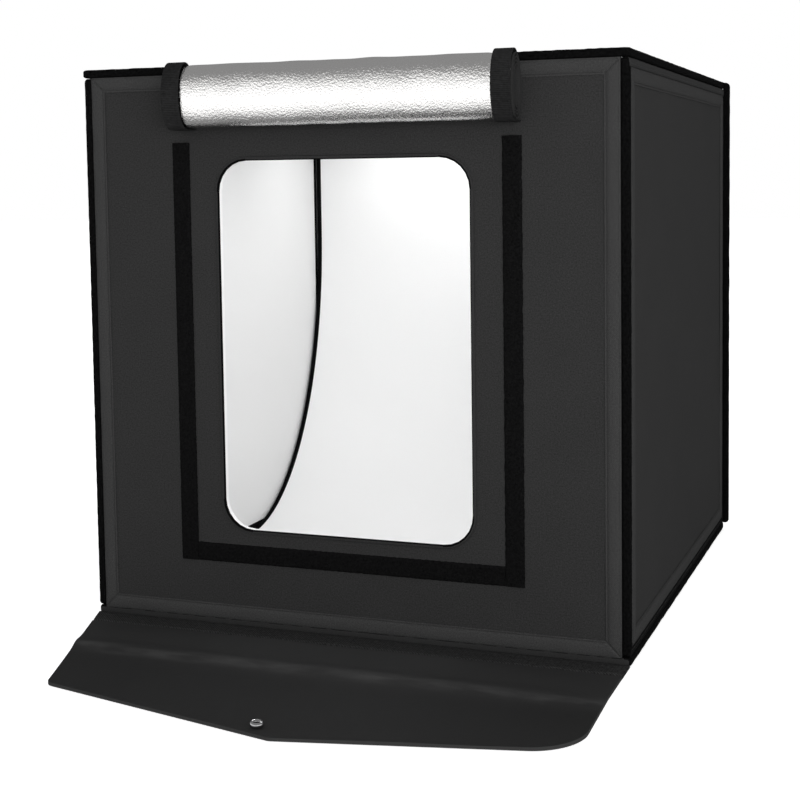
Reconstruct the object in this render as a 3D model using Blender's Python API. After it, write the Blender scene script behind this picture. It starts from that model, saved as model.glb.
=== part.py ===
"""A folding light tent cube: five board walls with bound edges, a front door with a window, a sweep
sheet inside, light bars under the roof, and the carry case's flap lying on the floor in front.

Metres. +Z is up, the front faces -Y, and the origin is the centre of the base on the floor.
Each wall is drawn flat in its own frame: u across, v up, w outward, with w = 0 at the cube's face.
"""
import math

import bmesh
import bpy
from mathutils import Matrix, Vector

# The cube
WIDTH = 0.600
DEPTH = 0.600
HEIGHT = 0.600
GAP = 0.0003
OUTLINE_RADIUS = 0.004

# Every wall: a board in a bound edge, a hem sewn round its face and a lining inside
BINDING_SIZE = 0.009
BACK_OVERHANG = 0.007
BINDING_ROUND = 0.0025
BOARD_SINK = 0.0015
BOARD_THICKNESS = 0.006
HEM_WIDTH = 0.016
HEM_THICKNESS = 0.001
LINING_THICKNESS = 0.0012

# The window in the front door
WINDOW_WIDTH = 0.278
WINDOW_HEIGHT = 0.392
WINDOW_BOTTOM = 0.107
WINDOW_RADIUS = 0.032
WINDOW_BINDING_WIDTH = 0.0035

# Hook-and-loop strips round the window
STRIP_WIDTH = 0.020
STRIP_SPACING = 0.366
STRIP_BOTTOM = 0.070
STRIP_HEIGHT = 0.449
BOTTOM_STRIP_HEIGHT = 0.020
STRIP_THICKNESS = 0.0015

# The window's cover, rolled up and strapped
COVER_WIDTH = 0.380
COVER_LENGTH = 0.505
COVER_THICKNESS = 0.0012
COVER_SHIFT = 0.004
COVER_SEWN_LENGTH = 0.007
ROLL_CLEARANCE = 0.0005
ROLL_RADIUS = 0.0335
ROLL_FLATNESS = 0.5
ROLL_PITCH = 0.0034
ROLL_DROP = 0.033
ROLL_STEPS_PER_TURN = 24
STRAP_WIDTH = 0.020
STRAP_THICKNESS = 0.0016
STRAP_CLEARANCE = 0.0006
STRAP_END_INSET = 0.0115
STRAP_STEPS = 12
ANCHOR_STEPS = 5
ANCHOR_FOOT_DROP = 0.008
ANCHOR_LEAVE_DEG = 45.0

# The carry case's spine and flap, in front of the base
ROOT_STRIP_DEPTH = 0.036
ROOT_STRIP_HEIGHT = 0.0040
CASE_THICKNESS = 0.0035
SPINE_DEPTH = 0.058
CASE_SIDE_INSET = 0.001
CASE_LEFT_NARROWING = 0.035
FLAP_REACH = 0.187
FLAP_APEX_SHARE = 0.154
FLAP_LEFT_TIP_SHARE = -0.729
FLAP_LEFT_REACH_SHARE = 0.674
FLAP_RIGHT_REACH_SHARE = 0.69
FLAP_RIGHT_RADIUS = 0.052
FLAP_LEFT_RADIUS = 0.012
FLAP_CORNER_STEPS = 6
SNAP_SHARE = 0.087
SNAP_REACH = 0.168
SNAP_RADIUS = 0.0062
SNAP_HEIGHT = 0.0042
SNAP_CHAMFER = 0.0016
SNAP_POST_RADIUS = 0.0025
SNAP_HOLE_CLEARANCE = 0.0003
SNAP_STEPS = 20

# The sweep sheet and what holds it
SHEET_THICKNESS = 0.001
SHEET_SIDE_CLEARANCE = 0.001
SHEET_EDGE_WIDTH = 0.010
SHEET_DROP = 0.034
SHEET_FRONT_CLEARANCE = 0.008
SWEEP_DEPTH = 0.250
SWEEP_HEIGHT = 0.390
SWEEP_STEPS = 14
BATTEN_WALL = 0.0012
BATTEN_HEIGHT = 0.012
BATTEN_GRIP = 0.009
PAD_SPACING = 0.360
PAD_WIDTH = 0.050
PAD_THICKNESS = 0.0014

# The roof's shooting port and its cover
PORT_WIDTH = 0.150
PORT_DEPTH = 0.110
PORT_RADIUS = 0.020
PORT_SHIFT = 0.020
PORT_COVER_OVERLAP = 0.022
PORT_COVER_THICKNESS = 0.002
PORT_FASTENER_WIDTH = 0.012
PORT_FASTENER_THICKNESS = 0.0015

# The two light bars under the roof
LAMP_LENGTH = 0.420
LAMP_WIDTH = 0.026
LAMP_HEIGHT = 0.012
LAMP_WALL = 0.0015
LAMP_SPACING = 0.300
LAMP_BOARD_THICKNESS = 0.0016
LAMP_DIFFUSER_RISE = 0.005
LAMP_DIFFUSER_THICKNESS = 0.0015
LAMP_CAP_THICKNESS = 0.004
LAMP_STEPS = 8
INLET_RADIUS = 0.005
INLET_LENGTH = 0.009
INLET_BORE_RADIUS = 0.0032
INLET_BORE_DEPTH = 0.0075
INLET_STEPS = 16
ARC_STEPS = 4
WINDOW_ARC_STEPS = 7

OVERRUN = 0.004

CHARCOAL = ("charcoal_cloth", (0.028, 0.028, 0.030), 0.85, 0.0)
HEM_CLOTH = ("hem_cloth", (0.040, 0.040, 0.043), 0.85, 0.0)
BLACK_TAPE = ("black_tape", (0.006, 0.006, 0.007), 0.80, 0.0)
SILVER = ("silver_lining", (0.62, 0.63, 0.64), 0.35, 0.6)
CASE_HIDE = ("case_hide", (0.020, 0.021, 0.024), 0.55, 0.0)
WHITE_SHEET = ("white_sheet", (0.88, 0.88, 0.88), 0.60, 0.0)
STEEL = ("plated_steel", (0.60, 0.60, 0.62), 0.25, 1.0)
ALUMINIUM = ("aluminium", (0.70, 0.70, 0.72), 0.35, 1.0)
BLACK_PLASTIC = ("black_plastic", (0.015, 0.015, 0.016), 0.45, 0.0)
WHITE_PLASTIC = ("white_plastic", (0.85, 0.85, 0.85), 0.40, 0.0)


def clear_scene():
    for item in list(bpy.data.objects):
        bpy.data.objects.remove(item, do_unlink=True)


def add_body(name, point, parent=None):
    """An empty on a joint's axis; the pieces that move with it are its children."""
    body = bpy.data.objects.new(name, None)
    bpy.context.scene.collection.objects.link(body)
    body["point"] = tuple(point)
    body.location = Vector(point)
    if parent:
        body.parent = parent
        body.location -= Vector(parent["point"])
    return body


def add_material(name, finish):
    label, colour, roughness, metallic = finish
    material = bpy.data.materials.new(f"{label}_{name}")
    material.use_nodes = True
    shader = material.node_tree.nodes["Principled BSDF"]
    shader.inputs["Base Color"].default_value = (*colour, 1.0)
    shader.inputs["Roughness"].default_value = roughness
    shader.inputs["Metallic"].default_value = metallic
    return material


def add_piece(name, shape, frame, body, finish):
    """Turn a bmesh drawn in a frame into a named object carried by a body."""
    bmesh.ops.recalc_face_normals(shape, faces=shape.faces)
    mesh = bpy.data.meshes.new(name)
    shape.to_mesh(mesh)
    shape.free()
    mesh.shade_smooth()
    mesh.set_sharp_from_angle(angle=math.radians(35.0))
    mesh.materials.append(add_material(name, finish))
    piece = bpy.data.objects.new(name, mesh)
    bpy.context.scene.collection.objects.link(piece)
    piece.parent = body
    piece.matrix_basis = Matrix.Translation(-Vector(body["point"])) @ frame
    return piece


def cut(piece, shape, frame, body):
    """Take a shape away from a piece with a hidden cutter."""
    bmesh.ops.recalc_face_normals(shape, faces=shape.faces)
    mesh = bpy.data.meshes.new(f"{piece.name}_cutter")
    shape.to_mesh(mesh)
    shape.free()
    cutter = bpy.data.objects.new(f"{piece.name}_cutter", mesh)
    bpy.context.scene.collection.objects.link(cutter)
    cutter.parent = body
    cutter.matrix_basis = Matrix.Translation(-Vector(body["point"])) @ frame
    cutter.hide_render = True
    cutter.display_type = "WIRE"
    modifier = piece.modifiers.new("opening", "BOOLEAN")
    modifier.operation = "DIFFERENCE"
    modifier.solver = "EXACT"
    modifier.object = cutter


def wall_frame(u, v, centre):
    """A frame with u and v along a wall, w outward and its origin on the cube's face."""
    u, v = Vector(u), Vector(v)
    turn = Matrix((u, v, u.cross(v))).transposed().to_4x4()
    return Matrix.Translation(Vector(centre)) @ turn


def rounded_outline(width, height, radius, steps=ARC_STEPS, centre=(0.0, 0.0)):
    """A rectangle's outline with round corners, counter-clockwise from the lower right corner."""
    points = []
    for corner, (side, rise) in enumerate(((1, -1), (1, 1), (-1, 1), (-1, -1))):
        pivot_u = centre[0] + side * (width / 2 - radius)
        pivot_v = centre[1] + rise * (height / 2 - radius)
        for step in range(steps + 1):
            angle = math.pi / 2 * (corner - 1 + step / steps)
            points.append((pivot_u + radius * math.cos(angle), pivot_v + radius * math.sin(angle)))
    return points


def slab(outline, low, high):
    """A flat plate with the given outline, from one height to another."""
    shape = bmesh.new()
    layers = [[shape.verts.new((u, v, w)) for u, v in outline] for w in (low, high)]
    shape.faces.new(layers[0])
    shape.faces.new(layers[1])
    count = len(outline)
    for i in range(count):
        j = (i + 1) % count
        shape.faces.new((layers[0][i], layers[0][j], layers[1][j], layers[1][i]))
    return shape


def loop_of_outlines(outlines, heights):
    """A closed ring made of matching outlines, each at its height, joined last to first."""
    shape = bmesh.new()
    rows = [[shape.verts.new((u, v, w)) for u, v in outline] for outline, w in zip(outlines, heights)]
    count = len(outlines[0])
    for row in range(len(rows)):
        here, there = rows[row], rows[(row + 1) % len(rows)]
        for i in range(count):
            j = (i + 1) % count
            shape.faces.new((here[i], here[j], there[j], there[i]))
    return shape


def flat_ring(outer, inner, low, high):
    """A flat plate with one opening."""
    return loop_of_outlines([outer, outer, inner, inner], [low, high, high, low])


def bound_ring(width, height, size, rounding):
    """The tape-bound edge of a wall: a bar with rounded edges, carried round the wall."""
    profile = [(0.0, -size + rounding), (0.0, -rounding), (rounding, 0.0), (size - rounding, 0.0),
               (size, -rounding), (size, -size + rounding), (size - rounding, -size), (rounding, -size)]
    outlines = [rounded_outline(width - 2 * inset, height - 2 * inset, OUTLINE_RADIUS)
                for inset, _ in profile]
    return loop_of_outlines(outlines, [w for _, w in profile])


def band(outer, inner, low, high):
    """A bent strip: matching outer and inner lines, extruded across from low to high."""
    shape = bmesh.new()
    rows = []
    for line, w in ((outer, low), (outer, high), (inner, high), (inner, low)):
        rows.append([shape.verts.new((p, q, w)) for p, q in line])
    count = len(outer)
    for row in range(4):
        here, there = rows[row], rows[(row + 1) % 4]
        for i in range(count - 1):
            shape.faces.new((here[i], here[i + 1], there[i + 1], there[i]))
    for end in (0, count - 1):
        shape.faces.new([row[end] for row in rows])
    return shape


def box(low, high):
    """A rectangular block between two corners."""
    outline = [(low[0], low[1]), (high[0], low[1]), (high[0], high[1]), (low[0], high[1])]
    return slab(outline, low[2], high[2])


def round_outline(radius, steps, centre=(0.0, 0.0)):
    return [(centre[0] + radius * math.cos(2 * math.pi * i / steps),
             centre[1] + radius * math.sin(2 * math.pi * i / steps)) for i in range(steps)]


def stacked(outlines, heights):
    """A solid turned or tapered from matching outlines, capped at both ends."""
    shape = bmesh.new()
    rows = [[shape.verts.new((u, v, w)) for u, v in outline] for outline, w in zip(outlines, heights)]
    count = len(outlines[0])
    for here, there in zip(rows, rows[1:]):
        for i in range(count):
            j = (i + 1) % count
            shape.faces.new((here[i], here[j], there[j], there[i]))
    shape.faces.new(rows[0])
    shape.faces.new(rows[-1])
    return shape


def stud_cap(centre, base):
    """The press stud's low round head, chamfered at its upper edge."""
    rim = round_outline(SNAP_RADIUS, SNAP_STEPS, centre)
    crown = round_outline(SNAP_RADIUS - SNAP_CHAMFER, SNAP_STEPS, centre)
    return stacked([rim, rim, crown], [base, base + SNAP_HEIGHT / 2, base + SNAP_HEIGHT])


# Places that follow from the sizes above
board_low = -BOARD_SINK - BOARD_THICKNESS
hem_low = -BOARD_SINK + GAP
lining_low = -BINDING_SIZE
lining_high = -BINDING_SIZE + LINING_THICKNESS
inset = 2 * BINDING_SIZE + 2 * GAP
hinge_back = DEPTH / 2 - BINDING_SIZE - GAP / 2
hinge_roof = HEIGHT - BINDING_SIZE - GAP / 2
front_face = -DEPTH / 2
case_half = WIDTH / 2 - CASE_SIDE_INSET
snap_across = case_half * SNAP_SHARE
roll_height = HEIGHT - ROLL_DROP
sheet_top = HEIGHT - SHEET_DROP
hem_face = front_face - (hem_low + HEM_THICKNESS)

FLOOR_FRAME = wall_frame((1, 0, 0), (0, -1, 0), (0, 0, 0))
BACK_FRAME = wall_frame((-1, 0, 0), (0, 0, 1), (0, DEPTH / 2, HEIGHT / 2))
SIDE_MIDDLE = -(BINDING_SIZE + GAP) / 2
LEFT_FRAME = wall_frame((0, -1, 0), (0, 0, 1), (-WIDTH / 2, SIDE_MIDDLE, HEIGHT / 2))
RIGHT_FRAME = wall_frame((0, 1, 0), (0, 0, 1), (WIDTH / 2, SIDE_MIDDLE, HEIGHT / 2))
ROOF_FRAME = wall_frame((1, 0, 0), (0, 1, 0), (0, 0, HEIGHT))
FRONT_FRAME = wall_frame((1, 0, 0), (0, 0, 1), (0, front_face, HEIGHT / 2))
# A section frame: p along +Y, q up, extruded along +X
SECTION_FRAME = wall_frame((0, 1, 0), (0, 0, 1), (0, 0, 0))
WORLD_FRAME = Matrix.Identity(4)


def add_wall(name, frame, width, height, body, binding=True, hem=True, opening=None, sunk=BOARD_SINK):
    """One wall: board, bound edge, hem and lining; an opening is an outline of the window's kind."""
    edge = inset if binding else 0.0
    inner_width, inner_height = width - edge, height - edge
    steps = WINDOW_ARC_STEPS if opening else ARC_STEPS
    outer = rounded_outline(inner_width, inner_height, OUTLINE_RADIUS, steps)
    layers = (("board", board_low, -sunk, CHARCOAL), ("lining", lining_low, lining_high, SILVER))
    for kind, low, high, finish in layers:
        shape = flat_ring(outer, opening, low, high) if opening else slab(outer, low, high)
        add_piece(f"{name}_{kind}", shape, frame, body, finish)
    if hem:
        hem_outer = rounded_outline(inner_width, inner_height, OUTLINE_RADIUS)
        hem_inner = rounded_outline(inner_width - 2 * HEM_WIDTH, inner_height - 2 * HEM_WIDTH, OUTLINE_RADIUS)
        shape = flat_ring(hem_outer, hem_inner, hem_low, hem_low + HEM_THICKNESS)
        add_piece(f"{name}_hem", shape, frame, body, HEM_CLOTH)
    if binding:
        shape = bound_ring(width, height, BINDING_SIZE, BINDING_ROUND)
        add_piece(f"{name}_binding", shape, frame, body, BLACK_TAPE)


def case_left(y):
    """The case's left edge at a place before the tent: it narrows evenly from the tent to the crease."""
    crease = front_face - ROOT_STRIP_DEPTH - GAP - SPINE_DEPTH
    return -case_half + CASE_LEFT_NARROWING * (front_face - y) / (front_face - crease)


def add_floor(body):
    """The floor panel and the ribbed strip that joins the carry case to its front edge."""
    add_wall("floor", FLOOR_FRAME, WIDTH, DEPTH, body, hem=False, sunk=0.0)
    outline = [(front_face - GAP, 0.0), (front_face - GAP, ROOT_STRIP_HEIGHT),
               (front_face - ROOT_STRIP_DEPTH, 0.75 * ROOT_STRIP_HEIGHT), (front_face - ROOT_STRIP_DEPTH, 0.0)]
    strip = add_piece("case_root_strip", slab(outline, -case_half, case_half), SECTION_FRAME, body, BLACK_TAPE)
    past = front_face - ROOT_STRIP_DEPTH - OVERRUN
    wedge = [(-case_half - OVERRUN, front_face), (case_left(front_face), front_face), (case_left(past), past),
             (-case_half - OVERRUN, past)]
    cut(strip, slab(wedge, -OVERRUN, ROOT_STRIP_HEIGHT + OVERRUN), WORLD_FRAME, body)


def add_back(body):
    """The back wall, with the socket that takes the case's press stud when the tent is packed."""
    add_wall("back", BACK_FRAME, WIDTH + 2 * BACK_OVERHANG, HEIGHT - inset, body)
    socket_height = HEIGHT - (SPINE_DEPTH + ROOT_STRIP_DEPTH + SNAP_REACH)
    socket_frame = Matrix.Translation((snap_across, DEPTH / 2, socket_height)) @ BACK_FRAME.to_3x3().to_4x4()
    add_piece("snap_socket", stud_cap((0.0, 0.0), -BOARD_SINK + GAP), socket_frame, body, STEEL)


def sheet_path(offset):
    """The sweep sheet's line in the section plane, from its top edge down, back and out over the floor.

    The middle stretch is a quarter of an ellipse; offset moves the line into the cube.
    """
    back = DEPTH / 2 - BINDING_SIZE - PAD_THICKNESS - BATTEN_WALL - 3 * GAP - offset
    floor = BINDING_SIZE + GAP + offset
    front = front_face + BINDING_SIZE + SHEET_FRONT_CLEARANCE
    points = [(back, sheet_top)]
    for step in range(SWEEP_STEPS + 1):
        angle = math.pi / 2 * step / SWEEP_STEPS
        y = back - (SWEEP_DEPTH - offset) * (1 - math.cos(angle))
        z = floor + (SWEEP_HEIGHT - offset) * (1 - math.sin(angle))
        points.append((y, z))
    points.append((front, floor))
    return points


def add_backdrop(body):
    """The white sweep sheet with taped edges, its batten and the two pads that hold it up."""
    outer, inner = sheet_path(0.0), sheet_path(SHEET_THICKNESS)
    half = WIDTH / 2 - BINDING_SIZE - SHEET_SIDE_CLEARANCE - SHEET_EDGE_WIDTH
    add_piece("backdrop_sheet", band(outer, inner, -half, half), SECTION_FRAME, body, WHITE_SHEET)
    for side, name in ((-1, "backdrop_left_edge"), (1, "backdrop_right_edge")):
        near = side * (half + GAP)
        far = side * (half + SHEET_EDGE_WIDTH)
        shape = band(outer, inner, min(near, far), max(near, far))
        add_piece(name, shape, SECTION_FRAME, body, BLACK_TAPE)
    back = DEPTH / 2 - BINDING_SIZE - 2 * GAP - PAD_THICKNESS
    front = back - 2 * BATTEN_WALL - 2 * GAP - SHEET_THICKNESS
    low = sheet_top - BATTEN_GRIP
    top = low + BATTEN_HEIGHT
    slot = sheet_top + GAP
    batten = [(back, low), (back, top), (front, top), (front, low), (front + BATTEN_WALL, low),
              (front + BATTEN_WALL, slot), (back - BATTEN_WALL, slot), (back - BATTEN_WALL, low)]
    add_piece("backdrop_batten", slab(batten, -half, half), SECTION_FRAME, body, WHITE_PLASTIC)
    for side, name in ((-1, "backdrop_pad_left"), (1, "backdrop_pad_right")):
        middle = side * PAD_SPACING / 2
        shape = box((middle - PAD_WIDTH / 2, back + GAP, low),
                    (middle + PAD_WIDTH / 2, back + GAP + PAD_THICKNESS, top))
        add_piece(name, shape, WORLD_FRAME, body, BLACK_TAPE)


def add_lamp(name, place, body):
    """One light bar: channel, lit board, diffuser, two end caps and a power inlet."""
    roof = HEIGHT - BINDING_SIZE - GAP
    half, wall = LAMP_WIDTH / 2, LAMP_WALL
    low = roof - LAMP_HEIGHT
    length = LAMP_LENGTH / 2
    channel = [(place - half, low), (place - half, roof), (place + half, roof), (place + half, low),
               (place + half - wall, low), (place + half - wall, roof - wall),
               (place - half + wall, roof - wall), (place - half + wall, low)]
    add_piece(f"{name}_channel", slab(channel, -length, length), SECTION_FRAME, body, ALUMINIUM)
    inside = half - wall - GAP
    top = roof - wall - GAP
    board = [(place - inside, top - LAMP_BOARD_THICKNESS), (place + inside, top - LAMP_BOARD_THICKNESS),
             (place + inside, top), (place - inside, top)]
    add_piece(f"{name}_emitter", slab(board, -length, length), SECTION_FRAME, body, WHITE_PLASTIC)
    outer, inner = [], []
    for step in range(LAMP_STEPS + 1):
        angle = math.pi * step / LAMP_STEPS
        outer.append((place - inside * math.cos(angle), low - LAMP_DIFFUSER_RISE * math.sin(angle)))
        reach = inside - LAMP_DIFFUSER_THICKNESS
        rise = LAMP_DIFFUSER_RISE - LAMP_DIFFUSER_THICKNESS
        inner.append((place - reach * math.cos(angle), low - rise * math.sin(angle)))
    lip = low + LAMP_HEIGHT / 3
    outer = [(outer[0][0], lip)] + outer + [(outer[-1][0], lip)]
    inner = [(inner[0][0], lip)] + inner + [(inner[-1][0], lip)]
    add_piece(f"{name}_diffuser", band(outer, inner, -length, length), SECTION_FRAME, body, WHITE_PLASTIC)
    cap = [(place - half, roof), (place - half, low)]
    for step in range(1, LAMP_STEPS):
        angle = math.pi * step / LAMP_STEPS
        cap.append((place - half * math.cos(angle), low - LAMP_DIFFUSER_RISE * math.sin(angle)))
    cap += [(place + half, low), (place + half, roof)]
    for side, label in ((-1, "left"), (1, "right")):
        near, far = side * (length + GAP), side * (length + GAP + LAMP_CAP_THICKNESS)
        shape = slab(cap, min(near, far), max(near, far))
        add_piece(f"{name}_cap_{label}", shape, SECTION_FRAME, body, BLACK_PLASTIC)
    start = length + LAMP_CAP_THICKNESS + 2 * GAP
    middle = (place, roof - LAMP_HEIGHT / 2)
    outer_ring = round_outline(INLET_RADIUS, INLET_STEPS, middle)
    bore_ring = round_outline(INLET_BORE_RADIUS, INLET_STEPS, middle)
    end = start + INLET_LENGTH
    shape = stacked([outer_ring, outer_ring, bore_ring, bore_ring],
                    [start, end, end, end - INLET_BORE_DEPTH])
    add_piece(f"{name}_inlet", shape, SECTION_FRAME, body, BLACK_PLASTIC)


def add_roof(body, port_body):
    """The roof with its shooting port, the port's cover and the two light bars."""
    middle = (0.0, PORT_SHIFT)
    port = rounded_outline(PORT_WIDTH, PORT_DEPTH, PORT_RADIUS, WINDOW_ARC_STEPS, middle)
    edge = 2 * WINDOW_BINDING_WIDTH + 2 * GAP
    hole = rounded_outline(PORT_WIDTH + edge, PORT_DEPTH + edge, PORT_RADIUS + edge / 2,
                           WINDOW_ARC_STEPS, middle)
    add_wall("roof", ROOF_FRAME, WIDTH, DEPTH, body, opening=hole)
    rim = rounded_outline(PORT_WIDTH + edge - 2 * GAP, PORT_DEPTH + edge - 2 * GAP,
                          PORT_RADIUS + edge / 2 - GAP, WINDOW_ARC_STEPS, middle)
    shape = flat_ring(rim, port, lining_low, -BOARD_SINK + GAP)
    add_piece("port_binding", shape, ROOF_FRAME, body, BLACK_TAPE)
    inner_edge = edge + 2 * GAP
    outer_edge = inner_edge + 2 * PORT_FASTENER_WIDTH
    inner = rounded_outline(PORT_WIDTH + inner_edge, PORT_DEPTH + inner_edge,
                            PORT_RADIUS + inner_edge / 2, WINDOW_ARC_STEPS, middle)
    outer = rounded_outline(PORT_WIDTH + outer_edge, PORT_DEPTH + outer_edge,
                            PORT_RADIUS + outer_edge / 2, WINDOW_ARC_STEPS, middle)
    base = -BOARD_SINK + GAP
    shape = flat_ring(outer, inner, base, base + PORT_FASTENER_THICKNESS)
    add_piece("port_fastener", shape, ROOF_FRAME, body, BLACK_TAPE)
    cover_low = base + PORT_FASTENER_THICKNESS + GAP
    cover = rounded_outline(PORT_WIDTH + 2 * PORT_COVER_OVERLAP, PORT_DEPTH + 2 * PORT_COVER_OVERLAP,
                            PORT_RADIUS, WINDOW_ARC_STEPS, middle)
    shape = slab(cover, cover_low, cover_low + PORT_COVER_THICKNESS)
    add_piece("port_cover", shape, ROOF_FRAME, port_body, CHARCOAL)
    for side, name in ((-1, "front_lamp"), (1, "rear_lamp")):
        add_lamp(name, side * LAMP_SPACING / 2 + PORT_SHIFT, body)


def roll_point(angle, radius, outward):
    """A point of the flattened roll's section: its oval at that angle and radius, moved outward."""
    across, up = math.cos(angle), math.sin(angle)
    reach = outward / math.hypot(across, ROLL_FLATNESS * up)
    return (roll_centre() + ROLL_FLATNESS * radius * across + reach * across,
            roll_height + radius * up + reach * ROLL_FLATNESS * up)


def roll_line(outward):
    """The rolled cover's line in the section plane: down from its sewn edge, then wound inward.

    The oval's radius shrinks by one pitch a turn until the cover's whole length is used.
    """
    sewn_across, middle = roll_point(0.0, ROLL_RADIUS, outward)
    points = [(sewn_across, middle + COVER_SEWN_LENGTH)]
    used = COVER_SEWN_LENGTH
    step_angle = 2 * math.pi / ROLL_STEPS_PER_TURN
    angle = 0.0
    before = roll_point(0.0, ROLL_RADIUS, 0.0)
    while used < COVER_LENGTH:
        radius = ROLL_RADIUS - ROLL_PITCH * angle / (2 * math.pi)
        here = roll_point(-angle, radius, 0.0)
        used += math.dist(before, here)
        before = here
        points.append(roll_point(-angle, radius, outward))
        angle += step_angle
    return points


def roll_centre():
    """The roll's middle, with its back just clear of the door's hem."""
    return hem_face - ROLL_CLEARANCE - COVER_THICKNESS / 2 - ROLL_FLATNESS * ROLL_RADIUS


def least_roll_gap(line):
    """The least gap between the winding's turns, measured from its points to the next turn's edges."""
    least = ROLL_RADIUS
    for i in range(1, len(line) - ROLL_STEPS_PER_TURN - 1):
        for j in range(i + ROLL_STEPS_PER_TURN - 3, min(i + ROLL_STEPS_PER_TURN + 3, len(line) - 1)):
            (ay, az), (by, bz) = line[j], line[j + 1]
            length = math.hypot(by - ay, bz - az)
            share = ((line[i][0] - ay) * (by - ay) + (line[i][1] - az) * (bz - az)) / length ** 2
            share = min(max(share, 0.0), 1.0)
            near = (ay + share * (by - ay), az + share * (bz - az))
            least = min(least, math.dist(line[i], near) - COVER_THICKNESS)
    return least


def add_strap(name, middle, front_body, strap_body):
    """A webbing strap round the roll: a sewn anchor behind it and the loop that opens."""
    inner = COVER_THICKNESS / 2 + STRAP_CLEARANCE
    outer = inner + STRAP_THICKNESS
    low, high = middle - STRAP_WIDTH / 2, middle + STRAP_WIDTH / 2
    start = GAP / (ROLL_FLATNESS * ROLL_RADIUS)
    outer_line, inner_line = [], []
    for step in range(STRAP_STEPS + 1):
        angle = math.pi / 2 + start + (math.pi - start) * step / STRAP_STEPS
        outer_line.append(roll_point(angle, ROLL_RADIUS, outer))
        inner_line.append(roll_point(angle, ROLL_RADIUS, inner))
    door = front_face + BOARD_SINK - 2 * GAP
    outer_line.append((door, roll_height - ROLL_RADIUS - outer))
    inner_line.append((door, roll_height - ROLL_RADIUS - inner))
    add_piece(name, band(outer_line, inner_line, low, high), SECTION_FRAME, strap_body, BLACK_TAPE)
    outer_line, inner_line = [], []
    leave = math.radians(ANCHOR_LEAVE_DEG)
    for step in range(ANCHOR_STEPS + 1):
        angle = math.pi / 2 + (leave - math.pi / 2) * step / ANCHOR_STEPS
        outer_line.append(roll_point(angle, ROLL_RADIUS, outer))
        inner_line.append(roll_point(angle, ROLL_RADIUS, inner))
    sewn = hem_face - GAP
    foot = inner_line[-1][1] - STRAP_THICKNESS / 2
    outer_line += [(sewn, foot), (sewn, foot - ANCHOR_FOOT_DROP)]
    inner_line += [(sewn - STRAP_THICKNESS, foot - STRAP_THICKNESS),
                   (sewn - STRAP_THICKNESS, foot - ANCHOR_FOOT_DROP)]
    shape = band(outer_line, inner_line, low, high)
    add_piece(f"{name}_anchor", shape, SECTION_FRAME, front_body, BLACK_TAPE)


def add_front(body, left_strap_body, right_strap_body):
    """The front door: its window, hook-and-loop strips, rolled cover and straps."""
    window_middle = (0.0, WINDOW_BOTTOM + WINDOW_HEIGHT / 2 - HEIGHT / 2)
    edge = 2 * WINDOW_BINDING_WIDTH + 2 * GAP
    hole = rounded_outline(WINDOW_WIDTH + edge, WINDOW_HEIGHT + edge, WINDOW_RADIUS + edge / 2,
                           WINDOW_ARC_STEPS, window_middle)
    add_wall("front", FRONT_FRAME, WIDTH - inset, HEIGHT - inset, body, binding=False, opening=hole)
    rim = rounded_outline(WINDOW_WIDTH + edge - 2 * GAP, WINDOW_HEIGHT + edge - 2 * GAP,
                          WINDOW_RADIUS + edge / 2 - GAP, WINDOW_ARC_STEPS, window_middle)
    window = rounded_outline(WINDOW_WIDTH, WINDOW_HEIGHT, WINDOW_RADIUS, WINDOW_ARC_STEPS, window_middle)
    shape = flat_ring(rim, window, lining_low, hem_low + HEM_THICKNESS)
    add_piece("window_binding", shape, FRONT_FRAME, body, BLACK_TAPE)
    low = hem_low
    high = hem_low + STRIP_THICKNESS
    strip_low = STRIP_BOTTOM - HEIGHT / 2
    for side, name in ((-1, "fastener_left"), (1, "fastener_right")):
        middle = side * STRIP_SPACING / 2
        shape = box((middle - STRIP_WIDTH / 2, strip_low, low),
                    (middle + STRIP_WIDTH / 2, strip_low + STRIP_HEIGHT, high))
        add_piece(name, shape, FRONT_FRAME, body, BLACK_TAPE)
    reach = STRIP_SPACING / 2 - STRIP_WIDTH / 2 - GAP
    shape = box((-reach, strip_low, low), (reach, strip_low + BOTTOM_STRIP_HEIGHT, high))
    add_piece("fastener_bottom", shape, FRONT_FRAME, body, BLACK_TAPE)
    half = COVER_THICKNESS / 2
    low, high = COVER_SHIFT - COVER_WIDTH / 2, COVER_SHIFT + COVER_WIDTH / 2
    shape = band(roll_line(half), roll_line(-half), low, high)
    add_piece("window_cover_roll", shape, SECTION_FRAME, body, SILVER)
    print("least gap in the roll, mm:", round(1000 * least_roll_gap(roll_line(0.0)), 3))
    reach = COVER_WIDTH / 2 - STRAP_END_INSET
    add_strap("roll_strap_left", COVER_SHIFT - reach, body, left_strap_body)
    add_strap("roll_strap_right", COVER_SHIFT + reach, body, right_strap_body)


def rounded_corner(before, corner, after, radius, steps):
    """An arc that rounds one corner of an outline."""
    before, corner, after = Vector(before), Vector(corner), Vector(after)
    back, on = (before - corner).normalized(), (after - corner).normalized()
    half_angle = back.angle(on) / 2
    reach = radius / math.tan(half_angle)
    centre = corner + (back + on).normalized() * (radius / math.sin(half_angle))
    start, end = corner + back * reach - centre, corner + on * reach - centre
    turn = start.angle_signed(end)
    arc = []
    for step in range(steps + 1):
        spun = start.copy()
        spun.rotate(Matrix.Rotation(-turn * step / steps, 2))
        arc.append(tuple(centre + spun))
    return arc


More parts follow.
